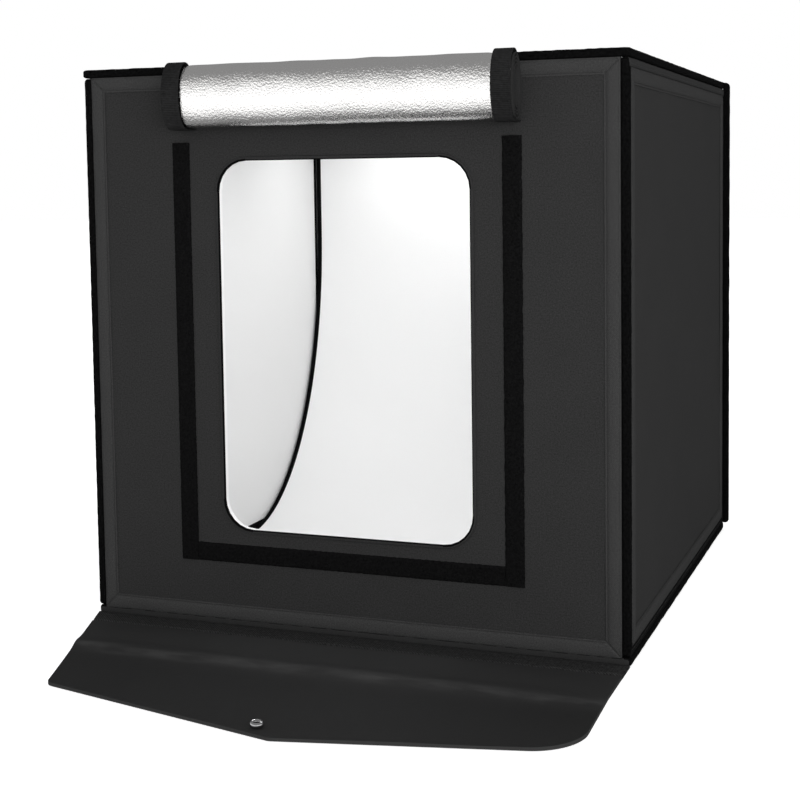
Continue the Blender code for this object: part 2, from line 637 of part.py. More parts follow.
def add_case(spine_body, flap_body):
    """The carry case's spine and flap with its press stud, lying on the floor."""
    root = front_face - ROOT_STRIP_DEPTH - GAP
    crease = root - SPINE_DEPTH
    left = case_left(crease)
    spine = [(case_left(root), root), (left, crease), (case_half, crease), (case_half, root)]
    add_piece("case_spine", slab(spine, 0.0, CASE_THICKNESS), WORLD_FRAME, spine_body, CASE_HIDE)
    start = crease - GAP
    apex = (case_half * FLAP_APEX_SHARE, start - FLAP_REACH)
    right_tip = (case_half + OUTLINE_RADIUS, start - FLAP_REACH * FLAP_RIGHT_REACH_SHARE)
    left_tip = (case_half * FLAP_LEFT_TIP_SHARE, start - FLAP_REACH * FLAP_LEFT_REACH_SHARE)
    flap = [(case_half, start), (left, start)]
    flap += rounded_corner((left, start), left_tip, apex, FLAP_LEFT_RADIUS, FLAP_CORNER_STEPS)
    flap += [apex]
    flap += rounded_corner(apex, right_tip, (case_half, start), FLAP_RIGHT_RADIUS, FLAP_CORNER_STEPS)
    sheet = add_piece("case_flap", slab(flap, 0.0, CASE_THICKNESS), WORLD_FRAME, flap_body, CASE_HIDE)
    snap = (snap_across, start - SNAP_REACH)
    hole = round_outline(SNAP_POST_RADIUS + SNAP_HOLE_CLEARANCE, SNAP_STEPS, snap)
    cut(sheet, slab(hole, -OVERRUN, CASE_THICKNESS + OVERRUN), WORLD_FRAME, flap_body)
    shape = slab(round_outline(SNAP_POST_RADIUS, SNAP_STEPS, snap), 0.0, CASE_THICKNESS)
    add_piece("snap_post", shape, WORLD_FRAME, flap_body, STEEL)
    add_piece("snap_cap", stud_cap(snap, CASE_THICKNESS + GAP), WORLD_FRAME, flap_body, STEEL)


clear_scene()
base = add_body("base", (0, 0, 0))
back_wall = add_body("back_wall", (0, DEPTH / 2, BINDING_SIZE + GAP / 2), base)
left_wall = add_body("left_wall", (-WIDTH / 2, hinge_back, HEIGHT / 2), back_wall)
right_wall = add_body("right_wall", (WIDTH / 2, hinge_back, HEIGHT / 2), back_wall)
roof = add_body("roof", (0, DEPTH / 2, hinge_roof), back_wall)
port_hinge = (0, PORT_SHIFT + PORT_DEPTH / 2 + PORT_COVER_OVERLAP, HEIGHT + GAP)
port_cover = add_body("port_cover_hinge", port_hinge, roof)
front_door = add_body("front_door", (0, front_face - GAP / 2, HEIGHT - BINDING_SIZE / 2), roof)
strap_reach = ROLL_RADIUS + COVER_THICKNESS / 2 + STRAP_CLEARANCE + STRAP_THICKNESS
strap_hinge = (0, roll_centre(), roll_height + strap_reach)
left_strap = add_body("left_strap_hinge", strap_hinge, front_door)
right_strap = add_body("right_strap_hinge", strap_hinge, front_door)
spine_hinge = (0, front_face - ROOT_STRIP_DEPTH - GAP / 2, CASE_THICKNESS)
case_spine = add_body("spine_hinge", spine_hinge, base)
flap_hinge = (0, front_face - ROOT_STRIP_DEPTH - GAP - SPINE_DEPTH - GAP / 2, CASE_THICKNESS)
case_flap = add_body("flap_hinge", flap_hinge, case_spine)

add_floor(base)
add_back(back_wall)
add_backdrop(back_wall)
side_height = HEIGHT - inset
side_length = DEPTH - BINDING_SIZE - GAP
add_wall("left", LEFT_FRAME, side_length, side_height, left_wall)
add_wall("right", RIGHT_FRAME, side_length, side_height, right_wall)
add_roof(roof, port_cover)
add_front(front_door, left_strap, right_strap)
add_case(case_spine, case_flap)
hinges = {"spine": spine_hinge, "flap": flap_hinge, "strap": strap_hinge, "port": port_hinge}
for hinge, point in hinges.items():
    print(hinge, "hinge at", [round(value, 6) for value in point])
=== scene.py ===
"""The looks of a folding light tent cube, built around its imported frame.

Metres, +Z up, the front faces -Y. The sections follow the tent as it is put together, from its board walls
to the carry case that lies in front of it.
"""
import math

import bpy
import numpy as np
from mathutils import Matrix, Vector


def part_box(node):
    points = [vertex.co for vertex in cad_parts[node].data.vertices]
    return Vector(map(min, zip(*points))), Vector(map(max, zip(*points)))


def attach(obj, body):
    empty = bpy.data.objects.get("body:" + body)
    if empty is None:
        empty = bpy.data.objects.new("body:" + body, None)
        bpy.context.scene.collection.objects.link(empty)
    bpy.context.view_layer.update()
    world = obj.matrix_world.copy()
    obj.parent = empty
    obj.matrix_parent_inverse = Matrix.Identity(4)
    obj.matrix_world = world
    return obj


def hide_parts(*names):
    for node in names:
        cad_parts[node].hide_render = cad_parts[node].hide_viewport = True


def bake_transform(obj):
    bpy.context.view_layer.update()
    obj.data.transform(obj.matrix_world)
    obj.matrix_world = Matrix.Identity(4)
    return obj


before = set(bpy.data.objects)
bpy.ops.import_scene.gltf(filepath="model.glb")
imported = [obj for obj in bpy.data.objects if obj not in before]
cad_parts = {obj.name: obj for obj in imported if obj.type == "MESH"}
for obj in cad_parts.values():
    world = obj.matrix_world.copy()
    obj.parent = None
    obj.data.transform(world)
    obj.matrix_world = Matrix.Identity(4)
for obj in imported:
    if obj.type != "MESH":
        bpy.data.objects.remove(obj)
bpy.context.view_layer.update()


# The camera stands a little right of the tent and just under its roof's height, with a longer lens.
# Its place, turn and lens come from the cube's corners.
CAMERA_PLACE = np.array([0.5949, -1.68267, 0.47836])
CAMERA_YAW, CAMERA_PITCH, CAMERA_ROLL = -0.3527, 0.07457, -0.01288
CAMERA_LENS, CAMERA_SHIFT = 66.10, (-0.025, -0.14)
camera = bpy.data.cameras.new("camera")
camera.sensor_width = 36.0
camera.lens = CAMERA_LENS
camera.shift_x, camera.shift_y = CAMERA_SHIFT
ahead = np.array([math.sin(CAMERA_YAW) * math.cos(CAMERA_PITCH),
                  math.cos(CAMERA_YAW) * math.cos(CAMERA_PITCH), -math.sin(CAMERA_PITCH)])
level = np.array([math.cos(CAMERA_YAW), -math.sin(CAMERA_YAW), 0.0])
upright = np.cross(level, ahead)
right = level * math.cos(CAMERA_ROLL) + upright * math.sin(CAMERA_ROLL)
top = upright * math.cos(CAMERA_ROLL) - level * math.sin(CAMERA_ROLL)
camera_object = bpy.data.objects.new("camera", camera)
bpy.context.scene.collection.objects.link(camera_object)


def placed(item, side, up, back, at):
    """Puts an object at a place with its own axes along three directions."""
    rows = np.column_stack([side, up, back, at]).tolist()
    item.matrix_world = Matrix([*rows, [0.0, 0.0, 0.0, 1.0]])


placed(camera_object, right, top, -ahead, CAMERA_PLACE)
bpy.context.scene.camera = camera_object
bpy.context.scene.view_settings.view_transform = "Standard"


# The studio is a white floor and white air, with one broad soft lamp in front at the right.
# The floor is white to the lens except where the tent shades it. Gloss mirrors the white air and far floor in
# front, a dimmer ceiling, rear and near floor, and not the lamp.
def node(material, kind, sockets=None, **options):
    """Adds one node to a material or world; a socket takes a value or another node's output."""
    tree = material.node_tree
    added = tree.nodes.new("ShaderNode" + kind)
    for option, value in options.items():
        setattr(added, option, value)
    for key, value in (sockets or {}).items():
        if isinstance(value, bpy.types.NodeSocket):
            tree.links.new(value, added.inputs[key])
        else:
            added.inputs[key].default_value = value
    return added


def calculated(material, operation, *values):
    """One operation of arithmetic on outputs and numbers."""
    return node(material, "Math", dict(enumerate(values)), operation=operation).outputs[0]


def ranged(material, value, given=(0.0, 1.0), wanted=(0.0, 1.0), smooth=False):
    """A value carried from one range to another and held at its ends, in a straight or an eased line."""
    sockets = dict(zip(("Value", "From Min", "From Max", "To Min", "To Max"), (value, *given, *wanted)))
    return node(material, "MapRange", sockets,
                interpolation_type="SMOOTHSTEP" if smooth else "LINEAR").outputs[0]


def blended(material, factor, first, second):
    """Two outputs or numbers mixed by a factor."""
    return node(material, "Mix", {"Factor": factor, 2: first, 3: second}).outputs[0]


def on_object(material):
    """A point's place in its object's own axes."""
    return node(material, "TexCoord").outputs["Object"]


WHITE = (1.0, 1.0, 1.0, 1.0)
AIR_LEVEL = 0.80
MIRRORED_LIGHT, MIRRORED_DARK = 1.18, 0.25
CEILING_START = (0.28, 0.36)
REAR_START = (-0.1, 0.5)
world = bpy.data.worlds.new("studio")
world.use_nodes = True
world.node_tree.nodes.clear()
rays = node(world, "LightPath")
seen = calculated(world, "MAXIMUM", rays.outputs["Is Camera Ray"], rays.outputs["Is Transmission Ray"])
plain = blended(world, seen, AIR_LEVEL, 1.0)
way = node(world, "SeparateXYZ", {0: node(world, "TexCoord").outputs["Generated"]})
dim = calculated(world, "MAXIMUM", ranged(world, way.outputs["Z"], CEILING_START, smooth=True),
                 ranged(world, way.outputs["Y"], REAR_START, smooth=True))
mirrored = ranged(world, dim, wanted=(MIRRORED_LIGHT, MIRRORED_DARK))
strength = blended(world, rays.outputs["Is Glossy Ray"], plain, mirrored)
air = node(world, "Background", {"Color": WHITE, "Strength": strength})
world.node_tree.links.new(air.outputs[0], node(world, "OutputWorld").inputs["Surface"])
bpy.context.scene.world = world

FLOOR_REACH, FLOOR_DROP = 14.0, 0.0004
FLOOR_PAINT = (0.86, 0.86, 0.86, 1.0)
FLOOR_LIFT = 0.60
NEAR_FLOOR = (-1.02, -0.90)
floor_mesh = bpy.data.meshes.new("studio_floor")
corners = np.array([(-1, -1), (1, -1), (1, 1), (-1, 1)]) * FLOOR_REACH
floor_mesh.from_pydata([(x, y, -FLOOR_DROP) for x, y in corners], [], [(0, 1, 2, 3)])
studio_floor = bpy.data.objects.new("studio_floor", floor_mesh)
bpy.context.scene.collection.objects.link(studio_floor)
floor_paint = bpy.data.materials.new("studio_floor")
floor_paint.use_nodes = True
floor_paint.node_tree.nodes.clear()
rays = node(floor_paint, "LightPath")
lift = calculated(floor_paint, "MULTIPLY", rays.outputs["Is Camera Ray"], FLOOR_LIFT)
paint = node(floor_paint, "BsdfDiffuse", {"Color": FLOOR_PAINT})
glow = node(floor_paint, "Emission", {"Color": WHITE, "Strength": lift})
both = node(floor_paint, "AddShader", {0: paint.outputs[0], 1: glow.outputs[0]})
way = node(floor_paint, "SeparateXYZ", {0: on_object(floor_paint)})
near = ranged(floor_paint, way.outputs["Y"], NEAR_FLOOR, (MIRRORED_LIGHT, MIRRORED_DARK))
image = node(floor_paint, "Emission", {"Color": WHITE, "Strength": near})
floor_look = node(floor_paint, "MixShader", {0: rays.outputs["Is Glossy Ray"], 1: both.outputs[0],
                                             2: image.outputs[0]})
floor_paint.node_tree.links.new(floor_look.outputs[0], node(floor_paint, "OutputMaterial").inputs["Surface"])
floor_mesh.materials.append(floor_paint)

STUDIO_LAMP = {"place": (1.7, -2.4, 0.6), "aim": (0.0, 0.0, 0.3), "size": (2.4, 1.2), "power": 39.0}


def area_lamp(name, place, aim, size, power):
    """A flat lamp at a place, facing a point."""
    data = bpy.data.lights.new(name, "AREA")
    data.shape = "RECTANGLE"
    data.size, data.size_y = size
    data.energy = power
    lamp = bpy.data.objects.new(name, data)
    bpy.context.scene.collection.objects.link(lamp)
    back = np.array(place, float) - np.array(aim, float)
    back /= np.linalg.norm(back)
    side = np.cross((0.0, 1.0, 0.0) if abs(back[2]) > 0.99 else (0.0, 0.0, 1.0), back)
    side /= np.linalg.norm(side)
    placed(lamp, side, np.cross(back, side), back, place)
    return lamp


studio_lamp = area_lamp("studio_lamp", **STUDIO_LAMP)
studio_lamp.visible_glossy = False


# Each wall is a stiff board covered with charcoal cloth; the cloth lies nearly flat, with the faint
# unevenness of a fabric that is glued and sewn at its edges. The door and the roof have an opening.
FACES = {
    "floor": ((0.0, 0.0, 0.0), (1, 0, 0), (0, -1, 0), "base"),
    "back": ((0.0, 0.3, 0.3), (-1, 0, 0), (0, 0, 1), "back_wall"),
    "left": ((-0.3, 0.0, 0.3), (0, -1, 0), (0, 0, 1), "left_wall"),
    "right": ((0.3, 0.0, 0.3), (0, 1, 0), (0, 0, 1), "right_wall"),
    "roof": ((0.0, 0.0, 0.6), (1, 0, 0), (0, 1, 0), "roof"),
    "front": ((0.0, -0.3, 0.3), (1, 0, 0), (0, 0, 1), "front_door"),
}
CLOTH = (0.0290, 0.0290, 0.0291)
CLOTH_THREAD = 0.0010
HEM_THREAD = 0.0019
CLOTH_UNEVEN, CLOTH_WAVE = 0.00022, 0.16
CORNER_ROUND = 0.004
DOOR_ROUND = 0.0006
DOOR_FILL = 0.0002
EDGE_CROWD = 0.35


def outward(wall):
    """The direction that a wall faces: its directions across and up, crossed."""
    return np.cross(FACES[wall][1], FACES[wall][2])


def on_wall(wall, across, up, out):
    """Points on a wall: its middle, plus so far across, up and outward."""
    middle, u, v, _ = FACES[wall]
    w = outward(wall)
    across, up, out = np.broadcast_arrays(across, up, out)
    return np.array(middle) + across[..., None] * u + up[..., None] * v + out[..., None] * w


def wall_box(wall, part):
    """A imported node's lowest and highest place in its wall's own directions."""
    middle, u, v, _ = FACES[wall]
    turn = np.stack([u, v, outward(wall)]).astype(float)
    ends = (np.array(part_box(part)) - np.array(middle)) @ turn.T
    return ends.min(axis=0), ends.max(axis=0)


def rumple(across, up, seed, wave, waves=7):
    """Soft unevenness from about -1 to 1: a sum of cosines with seeded directions, lengths and phases."""
    draw = np.random.default_rng(seed)
    total = 0.0
    for _ in range(waves):
        angle, phase = draw.uniform(0.0, 2 * math.pi, 2)
        length = wave * draw.uniform(0.6, 1.6)
        reach = across * math.cos(angle) + up * math.sin(angle)
        total = total + np.cos(reach * 2 * math.pi / length + phase)
    return total / waves ** 0.5 / 1.4


def outline(width, height, radius, corner_steps=6, side_steps=40, middle=(0.0, 0.0)):
    """Rectangles with round corners: an arc about each corner's pivot, joined by straight sides.

    The sizes may be arrays; the points come back as [size, step, (across, up)], anticlockwise."""
    half = np.stack(np.broadcast_arrays(np.atleast_1d(width) / 2, np.atleast_1d(height) / 2), axis=-1)
    signs = np.array([(1, -1), (1, 1), (-1, 1), (-1, -1)])[:, None]
    angle = math.pi / 2 * (np.arange(4)[:, None] - 1 + np.linspace(0.0, 1.0, corner_steps + 1))
    round_part = np.stack([np.cos(angle), np.sin(angle)], axis=-1)[:, None] * np.reshape(radius, (-1, 1, 1))
    arcs = (signs * (half - np.reshape(radius, (-1, 1))))[:, :, None] + round_part
    share = np.linspace(0.0, 1.0, side_steps + 1)[1:-1, None]
    sides = arcs[:, :, -1:] * (1 - share) + np.roll(arcs, -1, axis=0)[:, :, :1] * share
    points = np.concatenate([arcs, sides], axis=2).transpose(1, 0, 2, 3)
    return points.reshape(len(half), -1, 2) + middle


def run_of(path):
    """The length used at each point of a line."""
    return np.concatenate([[0.0], np.cumsum(np.linalg.norm(np.diff(path, axis=0), axis=1))])


def run_round(line):
    """The length used at each point of a closed line, and back at its start."""
    return run_of(np.concatenate([line, line[:1]]))


def lengths(run, girth):
    """A chart of the lengths used along a path and round its section."""
    return np.stack(np.meshgrid(run, girth, indexing="ij"), axis=-1)


def there_and_back(face, under):
    """Rows that run over a face and come back along its underside."""
    return np.concatenate([face, under[:, ::-1]], axis=1)


def carried(name, points, chart, closed=False):
    """A closed profile carried along a path: points[i, j] is place j of the profile at step i.

    Quads join neighbours along the path and round the profile. An open path's ends are closed by quads
    from place j to its partner across the profile. chart holds each point's place on the cloth, in metres,
    with one row or column more where it runs past a seam."""
    steps, places = points.shape[:2]
    if chart.shape[1] == places:
        chart = np.concatenate([chart, chart[:, :1]], axis=1)
    if closed and chart.shape[0] == steps:
        chart = np.concatenate([chart, chart[:1]], axis=0)
    i, j = np.meshgrid(np.arange(steps if closed else steps - 1), np.arange(places), indexing="ij")
    grid = np.stack([np.stack([i, j]), np.stack([i + 1, j]), np.stack([i + 1, j + 1]), np.stack([i, j + 1])])
    if not closed:
        k = np.arange(places // 2 - 1)
        cap = np.stack([k, k + 1, places - 2 - k, places - 1 - k])
        first = np.stack([np.stack([np.zeros_like(row), row]) for row in cap])
        last = np.stack([np.stack([np.full_like(row, steps - 1), row]) for row in cap[::-1]])
        grid = np.concatenate([grid.reshape(4, 2, -1), first, last], axis=2)
    grid = grid.reshape(4, 2, -1).transpose(2, 0, 1)
    faces = grid[..., 0] % steps * places + grid[..., 1] % places
    places_uv = chart[grid[..., 0], grid[..., 1]]
    return mesh_piece(name, points.reshape(-1, 3), faces, places_uv)


def mesh_piece(name, points, faces, chart=None):
    """An object from points and quads, with its chart in the UV map.

    Its faces are turned over when the volume that they enclose comes out negative."""
    a, b, c, d = (points[faces[:, k]] for k in range(4))
    volume = (np.einsum("ij,ij->i", a, np.cross(b, c)) + np.einsum("ij,ij->i", a, np.cross(c, d))).sum()
    if volume < 0:
        faces = faces[:, ::-1]
        chart = None if chart is None else chart[:, ::-1]
    mesh = bpy.data.meshes.new(name)
    mesh.from_pydata(points.tolist(), [], faces.tolist())
    if chart is not None:
        layer = mesh.uv_layers.new(name="chart")
        layer.data.foreach_set("uv", chart.astype(np.float32).ravel())
    mesh.shade_smooth()
    mesh.set_sharp_from_angle(angle=math.radians(40.0))
    piece = bpy.data.objects.new(name, mesh)
    bpy.context.scene.collection.objects.link(piece)
    return piece


def finished(piece, material, body, slot, *nodes):
    """Gives a piece its material and says what it rides on and the nodes that it stands for; its slot is not
    used.
    """
    piece.data.materials.append(material)
    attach(piece, body)
    if nodes:
        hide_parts(*nodes)
    return piece


def panel(name, wall, size, opening=None, uneven=CLOTH_UNEVEN, seed=0, radius=CORNER_ROUND):
    """A thin board with round corners, its outer and inner face a little uneven.

    size is its lowest and highest corner across, up and out. Whole, it is carried across in rows that are cut
    short at the round corners; with an opening, it is carried round between the two outlines."""
    low, high = size
    middle = (low + high) / 2
    width, height = high[:2] - low[:2]
    if opening is None:
        across = np.linspace(-1.0, 1.0, 61)
        across = np.sin(across * math.pi / 2) * EDGE_CROWD + across * (1 - EDGE_CROWD)
        reach = np.clip(np.abs(across) * width / 2 - (width / 2 - radius), 0.0, radius)
        half = height / 2 - radius + np.sqrt(radius ** 2 - reach ** 2)
        up = np.linspace(-1.0, 1.0, 61)[None, :] * half[:, None] + middle[1]
        across = across[:, None] * width / 2 + middle[0] + 0.0 * up
    else:
        outer = outline(width, height, radius, 6, 44, middle[:2])[0]
        share = np.linspace(0.0, 1.0, 31)[None, :, None]
        across, up = np.moveaxis(opening[:, None] * share + outer[:, None] * (1 - share), -1, 0)
    face = high[2] + uneven * rumple(across, up, seed, CLOTH_WAVE)
    points = there_and_back(on_wall(wall, across, up, face), on_wall(wall, across, up, low[2]))
    chart = np.stack([there_and_back(across, across), there_and_back(up, up)], axis=-1)
    return carried(name, points, chart, closed=opening is not None)


def new_finish(name, roughness, metallic=0.0, **constants):
    """A Principled material and its shader; constants go on the shader's own sockets."""
    material = bpy.data.materials.new(name)
    material.use_nodes = True
    shader = material.node_tree.nodes["Principled BSDF"]
    shader.inputs["Roughness"].default_value = roughness
    shader.inputs["Metallic"].default_value = metallic
    for key, value in constants.items():
        shader.inputs[key.replace("_", " ")].default_value = value
    return material, shader


def tinted(material, shader, colour, factor, spread):
    """Colour that runs from darker to lighter by the spread as a factor goes from 0.3 to 0.7."""
    ramp = node(material, "ValToRGB", {"Fac": factor})
    low, high = ramp.color_ramp.elements
    low.position, high.position = 0.3, 0.7
    low.color = [*(np.array(colour) * (1 - spread)), 1.0]
    high.color = [*(np.array(colour) * (1 + spread)), 1.0]
    material.node_tree.links.new(ramp.outputs["Color"], shader.inputs["Base Color"])
    return ramp


def glossed(material, shader, factor, low, high):
    """Roughness that runs from low to high as a factor goes from 0 to 1."""
    material.node_tree.links.new(ranged(material, factor, wanted=(low, high)), shader.inputs["Roughness"])


def raised(material, shader, height, relief, strength=0.6):
    """Gives the shader a bump whose height is in shares of the relief."""
    bump = node(material, "Bump", {"Height": height, "Distance": relief, "Strength": strength})
    material.node_tree.links.new(bump.outputs["Normal"], shader.inputs["Normal"])


def on_chart(material):
    """A point's place on its cloth's chart, in metres."""
    return node(material, "UVMap", uv_map="chart").outputs["UV"]


def noise(material, place, scale, detail, **more):
    """Noise with so many lumps a metre; more gives other sockets by name."""
    sockets = {"Vector": place, "Scale": scale, "Detail": detail, **more}
    return node(material, "TexNoise", sockets).outputs["Fac"]


def waves(material, place, pitch):
    """A sine along one output of a place, one period a pitch."""
    return calculated(material, "SINE", calculated(material, "MULTIPLY", place, 2 * math.pi / pitch))


def mixed(material, first, second, share):
    """Two outputs added, the second one at a share."""
    return calculated(material, "MULTIPLY_ADD", second, share, first)


def textile(name, colour, thread, relief=0.00012, roughness=0.86, mottle=0.22, fleck=0.0015, weave="plain",
            specular=0.02, threads_seen=0.08, patchy=0.08):
    """Cloth of threads one pitch apart, with flecks and soft mottling.

    The weave is a product of two sines along the chart, one sine across it for ribs, or one along its
    diagonal for twill. Colour mixes the flecks' noise with a patchy share of noise of some centimetres, and
    then adds a share of the weave."""
    material, shader = new_finish(name, roughness, Specular_IOR_Level=specular)
    place = on_chart(material)
    along, up = node(material, "SeparateXYZ", {0: place}).outputs[:2]
    if weave == "twill":
        along = calculated(material, "ADD", along, up)
    threads = waves(material, along, thread)
    if weave == "plain":
        threads = calculated(material, "MULTIPLY", threads, waves(material, up, thread))
    small = noise(material, place, 1.0 / fleck, 3.0, Roughness=0.65)
    large = noise(material, place, 14.0, 2.0)
    blend = blended(material, patchy, small, large)
    tinted(material, shader, colour, mixed(material, blend, threads, threads_seen), mottle)
    glossed(material, shader, small, roughness - 0.08, roughness + 0.08)
    raised(material, shader, mixed(material, threads, small, 2.0), relief)
    return material


charcoal = textile("charcoal_cloth", CLOTH, CLOTH_THREAD, mottle=0.34)
WINDOW = {"size": (0.278, 0.392), "radius": 0.032, "middle": (0.0, 0.003)}
PORT = {"size": (0.150, 0.110), "radius": 0.020, "middle": (0.0, 0.020)}
OPENINGS = {"front": WINDOW, "roof": PORT}
EDGE_ROOM = 0.0038


def opening_line(opening, room, side_steps=44):
    """The outline of a bound opening, so far outside its clear size."""
    width, height = np.array(opening["size"]) + 2 * room
    return outline(width, height, opening["radius"] + room, 6, side_steps, opening["middle"])[0]


def wall_panel(name, wall, part, seed, uneven=CLOTH_UNEVEN, room=0.0):
    """A wall's board or lining with the wall's opening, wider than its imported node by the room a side."""
    low, high = wall_box(wall, part)
    room = np.array([room, room, 0.0])
    hole = opening_line(OPENINGS[wall], EDGE_ROOM) if wall in OPENINGS else None
    return panel(name, wall, (low - room, high + room), hole, uneven, seed,
                 DOOR_ROUND if wall == "front" else CORNER_ROUND)


for seed, wall in enumerate(FACES):
    fill = DOOR_FILL if wall == "front" else 0.0
    board = wall_panel(f"{wall}_cloth", wall, f"{wall}_board", seed, room=fill)
    finished(board, charcoal, FACES[wall][3], "charcoal_cloth", f"{wall}_board")


# A hem of slightly lighter cloth is folded under and sewn round the outer face of each wall but the floor.
# Four strips meet in mitred corners, and a row of thread stitches runs just inside their inner edge.
HEM_COLOUR = (0.0408, 0.0408, 0.0409)
HEM_STEP = 0.0012
STITCH_LENGTH = 0.0024
STITCH_PITCH = 0.0036
STITCH_RADIUS = 0.00032
HEM_ROWS = ((0.0016, 0.00125), (0.0138, 0.0006))
HEM_ROW_ROUND = 0.0005
HEM_DROP = 0.0014
HEM_INWARD = np.array([0.0, 0.0004, 0.0015, 0.0040, 0.0075, 0.0105, 0.0122, 0.0131, 0.0137, 0.0143,
                       0.0150, 0.0156, 0.0160, 0.0160, 0.0150, 0.0080, 0.0000])
HEM_RISE = np.array([0.5, 0.9, 1.3, 1.75, 1.85, 1.55, 1.1, 0.55, 0.30, 0.45, 0.85, 0.75, 0.35,
                     0, 0, 0, 0]) * 0.001
HEM_WAVER = np.array([0, 0, 0.1, 0.2, 0.35, 0.4, 0.3, 0.3, 0.3, 0.5, 0.8, 1.0, 1.0, 1.0, 1.0, 0, 0]) * 0.00030
HEM_UNEVEN, HEM_WAVE = 0.00016, 0.030
MITRE_REACH, MITRE_SINK = 0.0016, 0.75
# The back and side walls' hems: the same hem cloth painted darker, as painted shade.
SHADED_SIDE_HEM_COLOUR = (0.0350, 0.0350, 0.0351)
THREAD_COLOUR = (0.0160, 0.0160, 0.0161)


def even_steps(line, pitch, closed=False):
    """Points one pitch apart along a line, and the line's direction at each."""
    if closed:
        line = np.concatenate([line, line[:1]])
    run = run_of(line)
    count = max(2, round(run[-1] / pitch))
    reach = np.linspace(0.0, run[-1], count, endpoint=not closed)
    ahead_of, behind = np.clip(reach + pitch / 4, 0, run[-1]), np.clip(reach - pitch / 4, 0, run[-1])
    at, on, off = (np.stack([np.interp(r, run, line[:, k]) for k in range(3)], axis=1)
                   for r in (reach, ahead_of, behind))
    way = on - off
    return at, way / np.linalg.norm(way, axis=1)[:, None]


def stitches(name, lines, outward, material, body, slot, closed=False, length=STITCH_LENGTH,
             radius=STITCH_RADIUS, pitch=STITCH_PITCH):
    """Rows of thread stitches: a six-sided spindle, wide in the middle, laid at each step of the lines."""
    turn = 2 * math.pi * np.arange(6) / 6
    stations = np.array([(-0.5, 0.25), (-0.3, 0.85), (0.0, 1.0), (0.3, 0.85), (0.5, 0.25)])
    at, way = (np.concatenate(part) for part in zip(*[even_steps(line, pitch, closed) for line in lines]))
    out = np.broadcast_to(np.array(outward, float), way.shape)
    side = np.cross(out, way)
    ring = np.cos(turn)[:, None] * side[:, None] + np.sin(turn)[:, None] * out[:, None]
    spindle = (at[:, None, None] + stations[:, None, :1] * length * way[:, None, None]
               + radius * stations[:, None, 1:] * ring[:, None])
    i, j = np.meshgrid(np.arange(4), np.arange(6), indexing="ij")
    walls = np.stack([i * 6 + j, i * 6 + (j + 1) % 6, (i + 1) * 6 + (j + 1) % 6, (i + 1) * 6 + j], axis=-1)
    ends = np.array([(0, 3, 2, 1), (0, 5, 4, 3), (24, 25, 26, 27), (24, 27, 28, 29)])
    one = np.concatenate([walls.reshape(-1, 4), ends])
    faces = (np.arange(len(at))[:, None, None] * 30 + one).reshape(-1, 4)
    piece = mesh_piece(name, spindle.reshape(-1, 3), faces)
    return finished(piece, material, body, slot)


def hem_strips(name, wall, size):
    """Four mitred strips: at so far in from the outer edge, each is shortened by as much at both ends.

    The profile rises from the outer edge to a soft crown, dips at the seam and ends in a folded lip. It sinks
    towards the mitres, and the inner edge and the seam's dip waver by the stitch. The door's hem hangs a
    little over the floor's edge."""
    low, high = size
    low = low - (0.0, HEM_DROP, 0.0) if wall == "front" else low
    middle = (low + high) / 2
    half = (high - low)[:2] / 2
    meshes = []
    for number, (turn_across, turn_up) in enumerate(((1, 0), (0, 1), (-1, 0), (0, -1))):
        along_half = half[0] if turn_across else half[1]
        depth_half = half[1] if turn_across else half[0]
        steps = int(2 * along_half / HEM_STEP)
        share = np.linspace(-1.0, 1.0, steps)[:, None]
        along = share * (along_half - HEM_INWARD)
        short = 1 - np.abs(share)
        wave = np.cos(along / STITCH_PITCH * 2 * math.pi) * HEM_WAVER * np.clip(short * 40, 0, 1)
        mitre = 1 - MITRE_SINK * np.exp(-(((along_half - HEM_INWARD) * short) / MITRE_REACH) ** 2)
        soft = 0.5 * wave + HEM_UNEVEN * rumple(along, HEM_INWARD, number, HEM_WAVE)
        lift = low[2] + np.where(HEM_RISE > 0, (HEM_RISE + soft) * mitre, 0.0)
        depth = depth_half - HEM_INWARD + 0.5 * wave
        across = along * turn_across + depth * turn_up + middle[0]
        up = along * turn_up - depth * turn_across + middle[1]
        chart = np.stack([along + number, HEM_INWARD + 0.0 * along], axis=-1)
        meshes.append(carried(f"{name}_{number}", on_wall(wall, across, up, lift), chart))
    return joined(name, meshes)


def seam_line(wall, size, inset, out, radius, corner_steps, side_steps):
    """A line round a wall, so far in from its edges and so far out, with round corners."""
    low, high = size
    width, height = high[:2] - low[:2] - 2 * inset
    seam = outline(width, height, radius, corner_steps, side_steps, (low[:2] + high[:2]) / 2)[0]
    return on_wall(wall, seam[:, 0], seam[:, 1], out)


def joined(name, pieces):
    """Several pieces made one, as shells of the same object."""
    with bpy.context.temp_override(active_object=pieces[0], selected_editable_objects=pieces):
        bpy.ops.object.join()
    pieces[0].name = name
    pieces[0].data.name = name
    return pieces[0]


hem_cloth = textile("hem_cloth", HEM_COLOUR, HEM_THREAD, relief=0.00012, mottle=0.36, weave="twill")
# The back and side walls take a darker copy of the hem cloth: painted shade.
shaded_side_hem_cloth = textile("shaded_side_hem_cloth", SHADED_SIDE_HEM_COLOUR, HEM_THREAD, relief=0.00012, mottle=0.36,
                         weave="twill")
black_thread, shader = new_finish("black_thread", 0.6, Specular_IOR_Level=0.25)
twist = noise(black_thread, on_object(black_thread), 2600.0, 1.0)
tinted(black_thread, shader, THREAD_COLOUR, twist, 0.3)
raised(black_thread, shader, twist, 0.0001)

for wall in ("back", "left", "right", "roof", "front"):
    body = FACES[wall][3]
    size = wall_box(wall, f"{wall}_hem")
    finished(hem_strips(f"{wall}_hem_strips", wall, size), hem_cloth if wall in ("front", "roof") else
             shaded_side_hem_cloth, body, "hem_cloth", f"{wall}_hem")
    rows = [seam_line(wall, size, inset, size[0][2] + rise, HEM_ROW_ROUND, 2, 8) for inset, rise in HEM_ROWS]
    stitches(f"{wall}_hem_stitches", rows, outward(wall), black_thread, body, "hem_cloth", closed=True)


